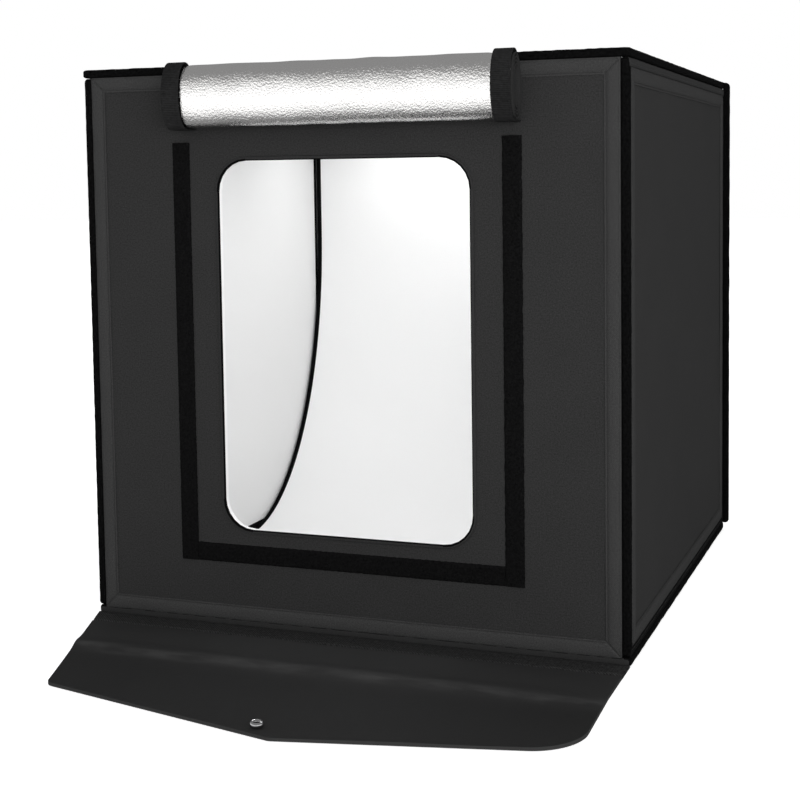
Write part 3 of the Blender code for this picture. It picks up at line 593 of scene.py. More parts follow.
# The walls' edges are bound with ribbed tape, folded over the board and sewn down. It is black on the roof
# and the uprights, and cloth-coloured or dark along the other walls' tops and bottoms. It puckers a little.
TAPE_COLOUR = (0.0036, 0.0036, 0.0037)
DIM_COLOUR = (0.0066, 0.0066, 0.0067)
FRONT_BAR_COLOUR = (0.0270, 0.0270, 0.0271)
TAPE_RIB, TAPE_RELIEF = 0.0009, 0.00020
BINDING_SIZE = 0.009
BINDING_ROUND = 0.0024
ROOF_EAR, EAR_REACH = 0.0022, 0.007
PUCKER, PUCKER_WAVE = 0.00022, 0.016
FACE_PUCKER, FACE_WAVE = 0.00020, 0.014
FRONT_FACE = -0.2994
DIM_TOP = 0.0184
SEAM_INSET, SEAM_SINK, SEAM_ROUND = 0.0062, 0.0003, 0.002
TURN_INNER, TURN_TOP = 0.30015, 0.5990
TURN_ROUND, TURN_BEVEL = 0.0060, 0.0011
TURN_INSET, TURN_SLACK, TURN_TIP = 0.0003, 0.0004, 0.25
FOOT_RISE, FOOT_REACH = (-0.006, 0.0007, 0.0010), 0.0014


def bound_edge(name, wall, size, seed, ear=0.0):
    """A bar with round edges carried round the wall: its section is a small round-cornered square.

    The outer side puckers in and out, and stands out by an ear at the corners."""
    low, high = size
    width, height = high[:2] - low[:2]
    section = outline(BINDING_SIZE, BINDING_SIZE, BINDING_ROUND, 4, 3)[0]
    inward, drop = section[:, 0] + BINDING_SIZE / 2, section[:, 1] - BINDING_SIZE / 2
    rings = outline(width - 2 * inward, height - 2 * inward, CORNER_ROUND, 6, 240, (low[:2] + high[:2]) / 2)
    outside = rings[np.argmin(inward)] - rings[np.argmax(inward)]
    outside /= np.linalg.norm(outside, axis=1)[:, None]
    across, up = rings[..., 0].T, rings[..., 1].T
    pucker = rumple(across, up, seed, PUCKER_WAVE, 9)
    corner = np.hypot(width / 2 - np.abs(across - rings[..., 0].mean()),
                      height / 2 - np.abs(up - rings[..., 1].mean()))
    shift = (inward < BINDING_SIZE / 2) * (ear * np.exp(-(corner / EAR_REACH) ** 2) - PUCKER * (1 + pucker))
    face = FACE_PUCKER * (1 + rumple(across, up, seed + 9, FACE_WAVE, 9)) * (drop > -BINDING_SIZE / 2)
    across, up = across + shift * outside[:, :1], up + shift * outside[:, 1:]
    points = on_wall(wall, across, up, high[2] + drop - face)
    edge_line = outline(width, height, CORNER_ROUND, 6, 240)[0]
    return carried(name, points, lengths(run_round(edge_line), run_round(section)), closed=True)


def edge_turn(name, side, high):
    """The fold where the back wall's tape turns up beside the roof: a small section carried upward.

    Its foot reaches inward below the roof's round edge. The outer side closes in towards the top
    as a quarter of a circle does."""
    inner, outer = TURN_INNER, high.x - TURN_INSET
    section = outline(outer - inner, BINDING_SIZE - TURN_SLACK, TURN_BEVEL, 4, 3)[0]
    turn, inner_side = np.linspace(0.0, 1.5, 10), (inner - outer) / 2
    rise = np.concatenate([high.z + np.array(FOOT_RISE), TURN_TOP - TURN_ROUND * (1 - np.sin(turn))])
    narrow = np.concatenate([np.ones(len(FOOT_RISE)), TURN_TIP + (1 - TURN_TIP) * np.cos(turn)])
    foot = np.where(rise < high.z + FOOT_RISE[1] + 1e-6, FOOT_REACH, 0.0)
    places = np.broadcast_to(section, (len(rise), *section.shape)).copy()
    places[..., 0] = inner_side + (places[..., 0] - inner_side) * narrow[:, None]
    places[..., 0] -= foot[:, None] * (section[:, 0] < 0)
    places *= (side, 1.0)
    middle = (side * (inner + outer) / 2, high.y - BINDING_SIZE / 2)
    across, depth = np.moveaxis(places + middle, -1, 0)
    points = np.stack(np.broadcast_arrays(across, depth, rise[:, None]), axis=-1)
    return carried(name, points, lengths(rise, run_round(section)))


def recoloured(piece, material, chosen):
    """Gives another material to the faces whose centres and normals are chosen."""
    faces = piece.data.polygons
    centre, normal = np.zeros(len(faces) * 3), np.zeros(len(faces) * 3)
    number = np.zeros(len(faces), np.int32)
    faces.foreach_get("center", centre)
    faces.foreach_get("normal", normal)
    faces.foreach_get("material_index", number)
    piece.data.materials.append(material)
    number[chosen(centre.reshape(-1, 3), normal.reshape(-1, 3))] = len(piece.data.materials) - 1
    faces.foreach_set("material_index", number)


def ribbed_tape(name, colour, mottle, fleck):
    """Tape with ribs across it."""
    return textile(name, colour, TAPE_RIB, relief=TAPE_RELIEF, mottle=mottle, fleck=fleck, weave="ribs")


black_tape = ribbed_tape("black_tape", TAPE_COLOUR, 0.85, 0.0026)
dim_tape = ribbed_tape("dim_tape", DIM_COLOUR, 0.45, 0.0030)
front_tape = ribbed_tape("front_tape", FRONT_BAR_COLOUR, 0.3, 0.0012)
for seed, wall in enumerate(("floor", "back", "left", "right", "roof")):
    body = FACES[wall][3]
    size = wall_box(wall, f"{wall}_binding")
    edge = bound_edge(f"{wall}_bound_edge", wall, size, seed + 3, ROOF_EAR if wall == "roof" else 0.0)
    finished(edge, black_tape, body, "black_tape", f"{wall}_binding")
    if wall == "floor":
        recoloured(edge, front_tape, lambda centre, normal: centre[:, 1] < FRONT_FACE)
    elif wall != "roof":
        top_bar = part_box(f"{wall}_binding")[1].z - BINDING_SIZE
        recoloured(edge, charcoal, lambda centre, normal: (centre[:, 2] > top_bar) & (normal[:, 1] > -0.5))
        recoloured(edge, dim_tape, lambda centre, normal: (centre[:, 2] < DIM_TOP) & (normal[:, 1] > -0.5))
    if wall == "back":
        for side, name in ((-1, "left"), (1, "right")):
            finished(edge_turn(f"edge_turn_{name}", side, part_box("back_binding")[1]), black_tape, body,
                     "black_tape")
    seam = seam_line(wall, size, SEAM_INSET, size[1][2] - SEAM_SINK, SEAM_ROUND, 3, 40)
    stitches(f"{wall}_edge_stitches", [seam], outward(wall), black_thread, body, "black_tape", closed=True)


# Inside, the floor, back, roof and door are lined with pebbled silver foil that throws the light about,
# and the two side walls with a plain pale cloth. The linings are glued to the boards.
PALE = (0.755, 0.755, 0.755)
SILVER = (0.62, 0.63, 0.64)
PEBBLE = 0.0042


def foil(name, colour, pebble, roughness=0.30, relief=0.0006, strength=0.7, metallic=0.9):
    """Metal-faced foil pressed with small pebbles: smooth cells at the pebble's size, with finer noise."""
    material, shader = new_finish(name, roughness, metallic, Specular_IOR_Level=0.5)
    place = on_chart(material)
    cells = node(material, "TexVoronoi", {"Vector": place, "Scale": 1.0 / pebble, "Smoothness": 0.6},
                 feature="SMOOTH_F1").outputs["Distance"]
    fine = noise(material, place, 2.2 / pebble, 2.0)
    tinted(material, shader, colour, fine, 0.10)
    raised(material, shader, mixed(material, cells, fine, 0.8), relief, strength)
    return material


silver_foil = foil("silver_foil", SILVER, PEBBLE)
pale_cloth = textile("pale_cloth", PALE, 0.0007, relief=0.00006, roughness=0.75, mottle=0.02)
for seed, wall in enumerate(FACES):
    lining = wall_panel(f"{wall}_inner_lining", wall, f"{wall}_lining", seed + 20, uneven=0.0)
    pale = wall in ("left", "right")
    finished(lining, pale_cloth if pale else silver_foil, FACES[wall][3],
             "pale_lining" if pale else "silver_lining", f"{wall}_lining")


# The window's edge is bound with a narrow black bead in front and a white reveal behind it,
# both bent round the board's cut edge.
BEAD_DEPTH = 0.0032
BEAD_LINE = 0.0014
BEAD_REACH = 0.0042
BEAD_STANDS, BEAD_ROUND = 0.0002, 0.0012
REVEAL_START, REVEAL_LAP, REVEAL_ROUND = 0.0003, 0.0006, 0.0005
REVEAL_COLOUR = (0.86, 0.86, 0.86)


def edge_ring(name, wall, opening, section, side_steps=60):
    """A section carried round an opening: its places are given as so far outside the clear size, and out."""
    rings = np.stack([opening_line(opening, room, side_steps) for room in section[:, 0]], axis=1)
    points = on_wall(wall, rings[..., 0], rings[..., 1], np.broadcast_to(section[:, 1], rings.shape[:2]))
    return carried(name, points, lengths(run_round(rings[:, 0]), run_round(section)), closed=True)


def beyond(opening, places):
    """How far each place lies outside an opening's clear outline, a rectangle with round corners."""
    past = np.abs(places - opening["middle"]) - np.array(opening["size"]) / 2 + opening["radius"]
    return np.linalg.norm(np.maximum(past, 0), axis=1) + np.minimum(past.max(axis=1), 0) - opening["radius"]


def bead_section(low, high, inner, outer, rounding):
    """A small round-cornered rectangle between two rooms and two depths."""
    places = outline(outer - inner, high - low, rounding, 4, 2)[0]
    return places + ((inner + outer) / 2, (high + low) / 2)


white_reveal = textile("white_reveal", REVEAL_COLOUR, 0.0007, relief=0.00006, roughness=0.6, mottle=0.02)
low, high = wall_box("front", "window_binding")
bead = edge_ring("window_bead", "front", WINDOW,
                 bead_section(high[2] - BEAD_DEPTH, high[2] + BEAD_STANDS, 0.0, BEAD_REACH, BEAD_ROUND))
finished(bead, black_tape, "front_door", "black_tape", "window_binding")
recoloured(bead, charcoal, lambda centre, normal: beyond(WINDOW, centre[:, [0, 2]] - (0.0, 0.3)) > BEAD_LINE)
reveal_top = high[2] - BEAD_DEPTH + REVEAL_LAP
reveal = edge_ring("window_reveal", "front", WINDOW,
                   bead_section(low[2], reveal_top, REVEAL_START, BEAD_REACH, REVEAL_ROUND))
finished(reveal, white_reveal, "front_door", "pale_lining")


# Two long strips and a bottom one of black hook-and-loop tape are sewn round the window; the unrolled
# cover sticks to them. The loops make a soft, uneven nap that stands over the edges.
NAP_COLOUR = (0.0048, 0.0048, 0.0049)
NAP_STEP, NAP_EDGE = 0.0016, 0.25
NAP_FUZZ, FUZZ_WAVE = 0.00022, 0.0032
NAP_WAVER, WAVER_WAVE = 0.00032, 0.0045


def nap_strip(name, wall, size, seed):
    """A strip whose face and edges are uneven at the loops' size: rows across it with a crowned section."""
    low, high = size
    middle, half = (low + high) / 2, (high - low) / 2
    long_way = int(half[1] > half[0])
    steps = int(2 * half[long_way] / NAP_STEP)
    along = np.linspace(-1.0, 1.0, steps)[:, None] * half[long_way]
    side = np.sin(np.linspace(-1.0, 1.0, 19) * math.pi / 2)
    thick = high[2] - low[2]
    crown = np.sqrt(np.clip(1 - np.abs(side) ** 6, 0.0, 1.0))
    fuzz = rumple(along, side * half[1 - long_way], seed, FUZZ_WAVE, 12)
    waver = NAP_WAVER * rumple(along, np.sign(side) * 0.3, seed + 1, WAVER_WAVE, 9)
    reach = side * (half[1 - long_way] + waver * np.abs(side) ** 8)
    rise = low[2] + thick * (NAP_EDGE + (1 - NAP_EDGE) * crown) + NAP_FUZZ * fuzz * crown
    along = along + 0.0 * reach
    places = there_and_back(np.stack([along, reach, rise], axis=-1),
                            np.stack([along, reach, low[2] + 0.0 * rise], axis=-1))
    lengthwise, sideways, out = np.moveaxis(places, -1, 0)
    across, up = (sideways, lengthwise) if long_way else (lengthwise, sideways)
    points = on_wall(wall, across + middle[0], up + middle[1], out)
    return carried(name, points, np.stack([lengthwise, sideways], axis=-1))


hook_and_loop, shader = new_finish("hook_and_loop", 0.95, Specular_IOR_Level=0.03)
loops = noise(hook_and_loop, on_chart(hook_and_loop), 520.0, 4.0, Roughness=0.7, Distortion=1.2)
tinted(hook_and_loop, shader, NAP_COLOUR, loops, 0.85)
raised(hook_and_loop, shader, loops, 0.0005, 0.8)
for seed, side in enumerate(("left", "right", "bottom")):
    strip = nap_strip(f"nap_{side}", "front", wall_box("front", f"fastener_{side}"), seed + 40)
    finished(strip, hook_and_loop, "front_door", "hook_and_loop", f"fastener_{side}")


# The window's cover is sewn on above the window and stored rolled up, a little uneven, before the door's
# top. Its silver face is outward and its black face inward, and the roll's end faces and a band at each
# end of the roll take the black face's cloth.
ROLL_WIDTH, ROLL_LENGTH = 0.380, 0.505
ROLL_SHIFT = 0.004
ROLL_MIDDLE = np.array([-0.31765, 0.567])
ROLL_RADIUS = 0.0335
ROLL_FLATNESS = 0.5
ROLL_PITCH = 0.0034
ROLL_SEWN = 0.007
COVER_THICKNESS = 0.0012
ROLL_PEBBLE = 0.0018
ROLL_SILVER = (0.95, 0.94, 0.93)
ROLL_EDGE = 0.0030
ROLL_SAG, SAG_WAVE = 0.00040, 0.05
STRAP_SPACING = 0.357
PINCH, PINCH_REACH = 0.0013, 0.013


def oval(angle, radius, outward=0.0):
    """Points of the flat roll's side view: half as deep as tall, moved outward square to the oval."""
    across, up = np.cos(angle), np.sin(angle)
    reach = outward / np.hypot(across, ROLL_FLATNESS * up)
    return ROLL_MIDDLE + np.stack([(ROLL_FLATNESS * radius + reach) * across,
                                   (radius + ROLL_FLATNESS * reach) * up], axis=-1)


def along_section(path, section):
    """A section (across, off the path) carried along a line in the tent's side view, as points in space.

    The off direction is the path's tangent turned by a right angle."""
    tangent = np.gradient(path, axis=0)
    tangent /= np.linalg.norm(tangent, axis=1)[:, None]
    normal = np.stack([-tangent[:, 1], tangent[:, 0]], axis=1)
    side_view = path[:, None] + section[None, :, 1:] * normal[:, None]
    across = np.broadcast_to(section[:, 0], side_view.shape[:2])
    return np.concatenate([across[..., None], side_view], axis=2)


def sheet_section(side, thickness):
    """A thin sheet's section, across and off its middle: along its face and back along its underside."""
    off = np.full_like(side, thickness / 2)
    return np.concatenate([np.stack([side, off], axis=1), np.stack([side, -off], axis=1)[::-1]])


def winding(angle):
    """Points of the roll, which closes in by a pitch each turn."""
    return oval(-angle, ROLL_RADIUS - ROLL_PITCH * angle / (2 * math.pi))


turns = np.linspace(0.0, 10 * math.pi, 6000)
wound = run_of(winding(turns))
last = np.interp(ROLL_LENGTH - ROLL_SEWN, wound, turns)
angle = np.concatenate([np.linspace(0.0, 2 * math.pi, 140), np.linspace(2 * math.pi, last, 90)[1:]])
sewn = ROLL_MIDDLE + np.stack([np.full(4, ROLL_FLATNESS * ROLL_RADIUS),
                               np.linspace(ROLL_SEWN, 0.0, 5)[:-1]], axis=1)
roll_path = np.concatenate([sewn, winding(angle)])
side = np.linspace(-1.0, 1.0, 191) * ROLL_WIDTH / 2 + ROLL_SHIFT
roll_points = along_section(roll_path, sheet_section(side, COVER_THICKNESS))
out = roll_points[..., 1:] - ROLL_MIDDLE
out /= np.linalg.norm(out, axis=-1)[..., None]
around = np.concatenate([np.full(len(sewn), 0.0), angle])[:, None]
sag = ROLL_SAG * rumple(roll_points[..., 0], around * ROLL_RADIUS, 61, SAG_WAVE)
sag -= PINCH * np.exp(-((np.abs(roll_points[..., 0] - ROLL_SHIFT) - STRAP_SPACING / 2) / PINCH_REACH) ** 4)
roll_points[..., 1:] += out * (sag * np.clip(around / 0.6, 0.0, 1.0))[..., None]
chart = np.stack(np.broadcast_arrays(roll_points[..., 0], run_of(roll_path)[:, None]), axis=-1)
roll = carried("silver_roll", roll_points, chart)
roll_foil = foil("roll_foil", ROLL_SILVER, ROLL_PEBBLE, 0.10, 0.00032, 1.0, 1.0)
cover_back = textile("cover_back", CLOTH, CLOTH_THREAD)
finished(roll, roll_foil, "front_door", "silver_lining", "window_cover_roll")
recoloured(roll, cover_back, lambda centre, normal: (np.einsum(
    "ij,ij->i", centre[:, 1:] - ROLL_MIDDLE, normal[:, 1:]) < 0.002)
    | (np.abs(centre[:, 0] - ROLL_SHIFT) > ROLL_WIDTH / 2 - ROLL_EDGE))


# Two straps of heavy black webbing hold the roll near its ends. Each is sewn to the door behind the
# roll, comes up and over it, and its free end sticks to the door below.
STRAP_WIDTH, STRAP_THICKNESS, STRAP_ROUND = 0.020, 0.0016, 0.0007
STRAP_OFF = 0.0009
STRAP_FOOT = 0.008
DOOR_PLACE = -0.2988
TAIL_STANDS, FOOT_STANDS = 0.0006, 0.0018
WEBBING_COLOUR = (0.0140, 0.0140, 0.0142)
WEBBING_RIB = 0.0018


def softened(line, times=3):
    """A line with its corners cut: each round keeps its ends and takes the quarter points of its sides."""
    for _ in range(times):
        quarter, rest = line[:-1] * 0.75 + line[1:] * 0.25, line[:-1] * 0.25 + line[1:] * 0.75
        line = np.concatenate([line[:1], np.stack([quarter, rest], axis=1).reshape(-1, 2), line[-1:]])
    return line


def swept(name, path, section):
    """A section carried along a path in the side view, and charted along it and across."""
    across = np.concatenate([section[:, 0], section[:1, 0]])
    chart = np.stack(np.broadcast_arrays(run_of(path)[:, None], across), axis=-1)
    return carried(name, along_section(path, section), chart)


webbing = textile("webbing", WEBBING_COLOUR, WEBBING_RIB, relief=0.0003, mottle=0.6, fleck=0.0035,
                  weave="ribs", specular=0.1, patchy=0.45)
loop = oval(np.radians(np.linspace(91.0, 270.0, 90)), ROLL_RADIUS, STRAP_OFF)
tail = np.linspace(loop[-1, 0], DOOR_PLACE - TAIL_STANDS, 12)[1:]
loop = np.concatenate([loop, np.stack([tail, np.full(11, loop[-1, 1])], axis=1)])
foot_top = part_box("roll_strap_left_anchor")[0].z + STRAP_FOOT
foot = [(DOOR_PLACE - FOOT_STANDS, foot_top - fall) for fall in (0.0, STRAP_FOOT)]
behind = oval(np.radians(np.linspace(90.0, 45.0, 12)), ROLL_RADIUS, STRAP_OFF)
behind = softened(np.concatenate([behind, foot]), 2)
web = outline(STRAP_WIDTH, STRAP_THICKNESS, STRAP_ROUND, 4, 10)[0]
for side, name in ((-1, "left"), (1, "right")):
    middle = ROLL_SHIFT + side * STRAP_SPACING / 2
    section = web + (middle, 0.0)
    for path, label, body, part in ((loop, "strap", f"{name}_strap", f"roll_strap_{name}"),
                                    (behind, "strap_end", "front_door", f"roll_strap_{name}_anchor")):
        finished(swept(f"{name}_{label}", path, section), webbing, body, "webbing", part)


# A white sheet hangs from a batten at the top of the back wall and sweeps out over the floor, so that
# there is no corner behind the subject. Its long edges are bound with black tape.
SHEET_HALF = 0.2828
SHEET_TOP = 0.566
SHEET_BACK = 0.28700
SHEET_FLOOR = 0.0098
SHEET_FRONT = -0.283
SWEEP = (0.250, 0.390)
SHEET_THICKNESS = 0.0008
SHEET_TAPE = (0.2820, 0.2885)
SHEET_TAPE_THICKNESS, SHEET_TAPE_ROUND = 0.0016, 0.0006
SHEET_COLOUR = (0.87, 0.87, 0.87)


def sweep_path():
    """From the batten straight down, round a quarter of an ellipse and straight out to the front."""
    depth, height = SWEEP
    turn = np.linspace(0.0, math.pi / 2, 70)
    curve = np.stack([SHEET_BACK - depth * (1 - np.cos(turn)),
                      SHEET_FLOOR + height * (1 - np.sin(turn))], axis=1)
    fall = np.stack([np.full(14, SHEET_BACK), np.linspace(SHEET_TOP, SHEET_FLOOR + height, 15)[:-1]], axis=1)
    front = np.stack([np.linspace(SHEET_BACK - depth, SHEET_FRONT, 25)[1:], np.full(24, SHEET_FLOOR)], axis=1)
    return np.concatenate([fall, curve, front])


white_sheet = textile("white_sheet", SHEET_COLOUR, 0.0006, relief=0.00004, roughness=0.6, mottle=0.015)
path = sweep_path()
side = np.linspace(-SHEET_HALF, SHEET_HALF, 61)
section = sheet_section(side, SHEET_THICKNESS)
chart = np.stack(np.broadcast_arrays(section[:, 0], run_of(path)[:, None]), axis=-1)
sheet = carried("sweep_sheet", along_section(path, section), chart)
finished(sheet, white_sheet, "back_wall", "white_sheet", "backdrop_sheet")
for side, name in ((-1, "left"), (1, "right")):
    inner, outer = SHEET_TAPE
    section = outline(outer - inner, SHEET_TAPE_THICKNESS, SHEET_TAPE_ROUND, 3, 4)[0]
    tape = swept(f"sheet_tape_{name}", path, section + (side * (inner + outer) / 2, 0.0))
    finished(tape, black_tape, "back_wall", "black_tape", f"backdrop_{name}_edge")


# A moulded white batten grips the sheet's top edge, and two pads of hook-and-loop tape hold it to the
# back wall's lining.
MOULD_GRAIN = 0.0009


def moulded(name, colour, roughness, spread=0.04):
    """Moulded plastic: one colour with a fine spark-eroded grain."""
    material, shader = new_finish(name, roughness, Specular_IOR_Level=0.5)
    fine = noise(material, on_object(material), 1.0 / MOULD_GRAIN, 3.0)
    tinted(material, shader, colour, fine, spread)
    raised(material, shader, fine, 0.00004)
    return material


def repaint(part, material):
    """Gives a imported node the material, in place of its plain one."""
    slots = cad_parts[part].data.materials
    slots.clear()
    slots.append(material)


white_plastic = moulded("white_plastic", (0.80, 0.80, 0.80), 0.42)
black_plastic = moulded("black_plastic", (0.014, 0.014, 0.015), 0.45, spread=0.15)
repaint("backdrop_batten", white_plastic)
for part in ("backdrop_pad_left", "backdrop_pad_right"):
    repaint(part, black_plastic)


# Two light bars hang under the roof: a drawn aluminium channel, a board of small diodes, a milky cover
# pushed in between the channel's walls, and moulded caps with the power inlet at one end.
LAMP_GLOW = 3.0
LAMP_POWER = 0.66
LAMP_GAP = 0.001


def drawn_metal(name, colour, roughness, stretch):
    """Metal with fine lines along one direction: noise on a place that is squeezed along the lines."""
    material, shader = new_finish(name, roughness, 1.0)
    squeezed = node(material, "Mapping", {"Vector": on_object(material), "Scale": stretch}).outputs[0]
    lines = noise(material, squeezed, 60.0, 4.0)
    tinted(material, shader, colour, lines, 0.08)
    glossed(material, shader, lines, roughness - 0.08, roughness + 0.1)
    raised(material, shader, lines, 0.00005)
    return material


aluminium = drawn_metal("aluminium", (0.70, 0.70, 0.72), 0.34, (1.0, 40.0, 40.0))
milky = moulded("milky_cover", (0.85, 0.85, 0.83), 0.35, spread=0.02)
shader = milky.node_tree.nodes["Principled BSDF"]
shader.inputs["Emission Color"].default_value = (1.0, 0.99, 0.97, 1.0)
shader.inputs["Emission Strength"].default_value = LAMP_GLOW
for lamp in ("front_lamp", "rear_lamp"):
    repaint(f"{lamp}_channel", aluminium)
    repaint(f"{lamp}_emitter", white_plastic)
    repaint(f"{lamp}_diffuser", milky)
    for part in ("cap_left", "cap_right", "inlet"):
        repaint(f"{lamp}_{part}", black_plastic)
    low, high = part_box(f"{lamp}_diffuser")
    middle = (low + high) / 2
    light = area_lamp(f"{lamp}_light", (middle.x, middle.y, low.z - LAMP_GAP), (middle.x, middle.y, 0.0),
                      (high.x - low.x, high.y - low.y), LAMP_POWER)
    light.visible_camera = False
    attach(light, "roof")


# The roof's shooting port has a black bound edge, a frame of hook-and-loop tape round it and a cover of
# the walls' cloth, stiffened inside and bound with tape, that lifts on its rear edge.
PORT_ROUND = 0.0010
PORT_NAP, PORT_NAP_GAP, PORT_NAP_ROUND = 0.012, 0.0003, 0.0006
COVER_EDGE, COVER_EDGE_ROUND = 0.010, 0.0009
COVER_UNEVEN, COVER_ROUND, COVER_SEAM = 0.00015, 0.015, 0.0015
COVER_UNDER, COVER_OVER = (COVER_EDGE / 2, COVER_EDGE / 2, 0.0002), (COVER_EDGE / 2, COVER_EDGE / 2, 0.0003)
low, high = wall_box("roof", "port_binding")
port_bead = edge_ring("port_bead", "roof", PORT, bead_section(low[2], high[2], 0.0, BEAD_REACH, PORT_ROUND))
finished(port_bead, black_tape, "roof", "black_tape", "port_binding")
low, high = wall_box("roof", "port_fastener")
room = EDGE_ROOM + PORT_NAP_GAP
section = bead_section(low[2], high[2], room, room + PORT_NAP, PORT_NAP_ROUND)
port_nap = edge_ring("port_nap", "roof", PORT, section, 90)
finished(port_nap, hook_and_loop, "roof", "hook_and_loop", "port_fastener")
low, high = wall_box("roof", "port_cover")
cover = panel("port_cover_cloth", "roof", (low + COVER_UNDER, high - COVER_OVER), uneven=COVER_UNEVEN,
              seed=71, radius=COVER_ROUND)
finished(cover, charcoal, "port_cover", "charcoal_cloth", "port_cover")
cover_shape = {"size": tuple((high - low)[:2] - 2 * COVER_EDGE), "radius": 0.010,
               "middle": tuple(((high + low) / 2)[:2])}
cover_edge = edge_ring("port_cover_edge", "roof", cover_shape,
                       bead_section(low[2], high[2], 0.0, COVER_EDGE, COVER_EDGE_ROUND))
finished(cover_edge, black_tape, "port_cover", "black_tape")
seam = opening_line(cover_shape, COVER_SEAM)
stitches("port_cover_stitches", [on_wall("roof", seam[:, 0], seam[:, 1], high[2] + 0.0001)], (0, 0, 1),
         black_thread, "port_cover", "black_tape", closed=True)


# The carry case stays fixed to the tent: a ribbed strip joins it to the floor's front edge, then come its
# spine and its flap, one piece of coated cloth over a stiffener, with a fold between them.
CASE_COLOUR = (0.0218, 0.0218, 0.0219)
# The spine's colour is lifted to offset the shade that the tent's wall casts on it: painted light.
SPINE_PAINTED_LIGHT_COLOUR = (0.0285, 0.0285, 0.0286)
# The fold's colour: a mottled painted highlight along the crease.
CREASE_HIGHLIGHT_COLOUR = (0.046, 0.046, 0.046)
# The flap's rim faces: a painted highlight along its edges.
RIM_HIGHLIGHT_COLOUR = (0.034, 0.034, 0.034)
CASE_ROUGHNESS = 0.70
CASE_THICKNESS = 0.0035
ROOT = -0.3363
CREASE = -0.39445
ROOT_LEFT, CREASE_LEFT = -0.2855, -0.264
CASE_HALF = 0.299
LEFT_TIP = ((-0.218, -0.5206), 0.012)
RIGHT_TIP = ((0.303, -0.5236), 0.052)
APEX = (0.0460, -0.5816)
CASE_UNEVEN, CASE_UNDERSIDE = 0.0003, 0.0003
CASE_EDGE = 0.0011
CREASE_RISE, CREASE_WIDTH = 0.0020, 0.0160
CREASE_LIE, CREASE_WAVER = 0.0150, 0.003
CREASE_END = 0.030
# How far the fold's painted highlight reaches, and how far it lies from the crease.
CREASE_HIGHLIGHT_REACH, CREASE_HIGHLIGHT_SHIFT = 0.020, 0.006
SPINE_LIGHT_FADE = (-0.060, -0.005)


def corner_arc(before, corner, after, radius, steps):
    """The arc that rounds a corner: it touches both sides at the radius over the half angle's tangent."""
    before, corner, after = (np.array(point, float) for point in (before, corner, after))
    back, on = before - corner, after - corner
    back, on = back / np.linalg.norm(back), on / np.linalg.norm(on)
    half = math.acos(np.clip(back @ on, -1, 1)) / 2
    bisector = (back + on) / np.linalg.norm(back + on)
    centre = corner + bisector * radius / math.sin(half)
    start, end = (corner + way * radius / math.tan(half) - centre for way in (back, on))
    first, last = math.atan2(start[1], start[0]), math.atan2(end[1], end[0])
    turn = (last - first + math.pi) % (2 * math.pi) - math.pi
    angle = first + turn * np.linspace(0.0, 1.0, steps)
    return centre + radius * np.stack([np.cos(angle), np.sin(angle)], axis=1)


def spread(line, steps):
    """A line's points at even steps of its length."""
    run = run_of(line)
    reach = np.linspace(0.0, run[-1], steps)
    return np.stack([np.interp(reach, run, line[:, k]) for k in range(2)], axis=1)


front_edge = np.concatenate([
    corner_arc((CREASE_LEFT, CREASE), LEFT_TIP[0], APEX, LEFT_TIP[1], 12), [APEX],
    corner_arc(APEX, RIGHT_TIP[0], (CASE_HALF, CREASE), RIGHT_TIP[1], 24)])
STEPS_ACROSS = 181
front_edge = spread(front_edge, STEPS_ACROSS)
share = np.linspace(0.0, 1.0, STEPS_ACROSS)[:, None]
root_line = np.concatenate([ROOT_LEFT + (CASE_HALF - ROOT_LEFT) * share, ROOT + 0 * share], axis=1)
crease_line = np.concatenate([CREASE_LEFT + (CASE_HALF - CREASE_LEFT) * share, CREASE + 0 * share], axis=1)
down = np.linspace(0.0, 1.0, 36)[None, :, None]
spine = root_line[:, None] * (1 - down) + crease_line[:, None] * down
down = np.linspace(0.0, 1.0, 81)[None, 1:, None]
flap = crease_line[:, None] * (1 - down) + front_edge[:, None] * down
plan = np.concatenate([spine, flap], axis=1)
x, y = plan[..., 0], plan[..., 1]
ridge_line = CREASE_LIE + CREASE_WAVER * rumple(x, 0 * y, 85, 0.20)
ridge = np.exp(-((y - CREASE + ridge_line) / CREASE_WIDTH) ** 2)
ends = np.clip((CASE_HALF - np.abs(x)) / CREASE_END, 0.0, 1.0)
height = (CASE_THICKNESS + CASE_UNEVEN * rumple(x, y, 81, 0.14)
          + CREASE_RISE * ridge * ends * (1 + 0.15 * rumple(x, y, 84, 0.08)))
under = np.stack([x, y, CASE_UNDERSIDE + 0.0 * x], axis=-1)
points = there_and_back(np.stack([x, y, height], axis=-1), under)
case_cover = carried("case_cover", points, points[..., :2])
bevel = case_cover.modifiers.new("soft_edge", "BEVEL")
bevel.width = CASE_EDGE
bevel.segments = 3
bevel.limit_method = "ANGLE"
bevel.angle_limit = math.radians(50.0)


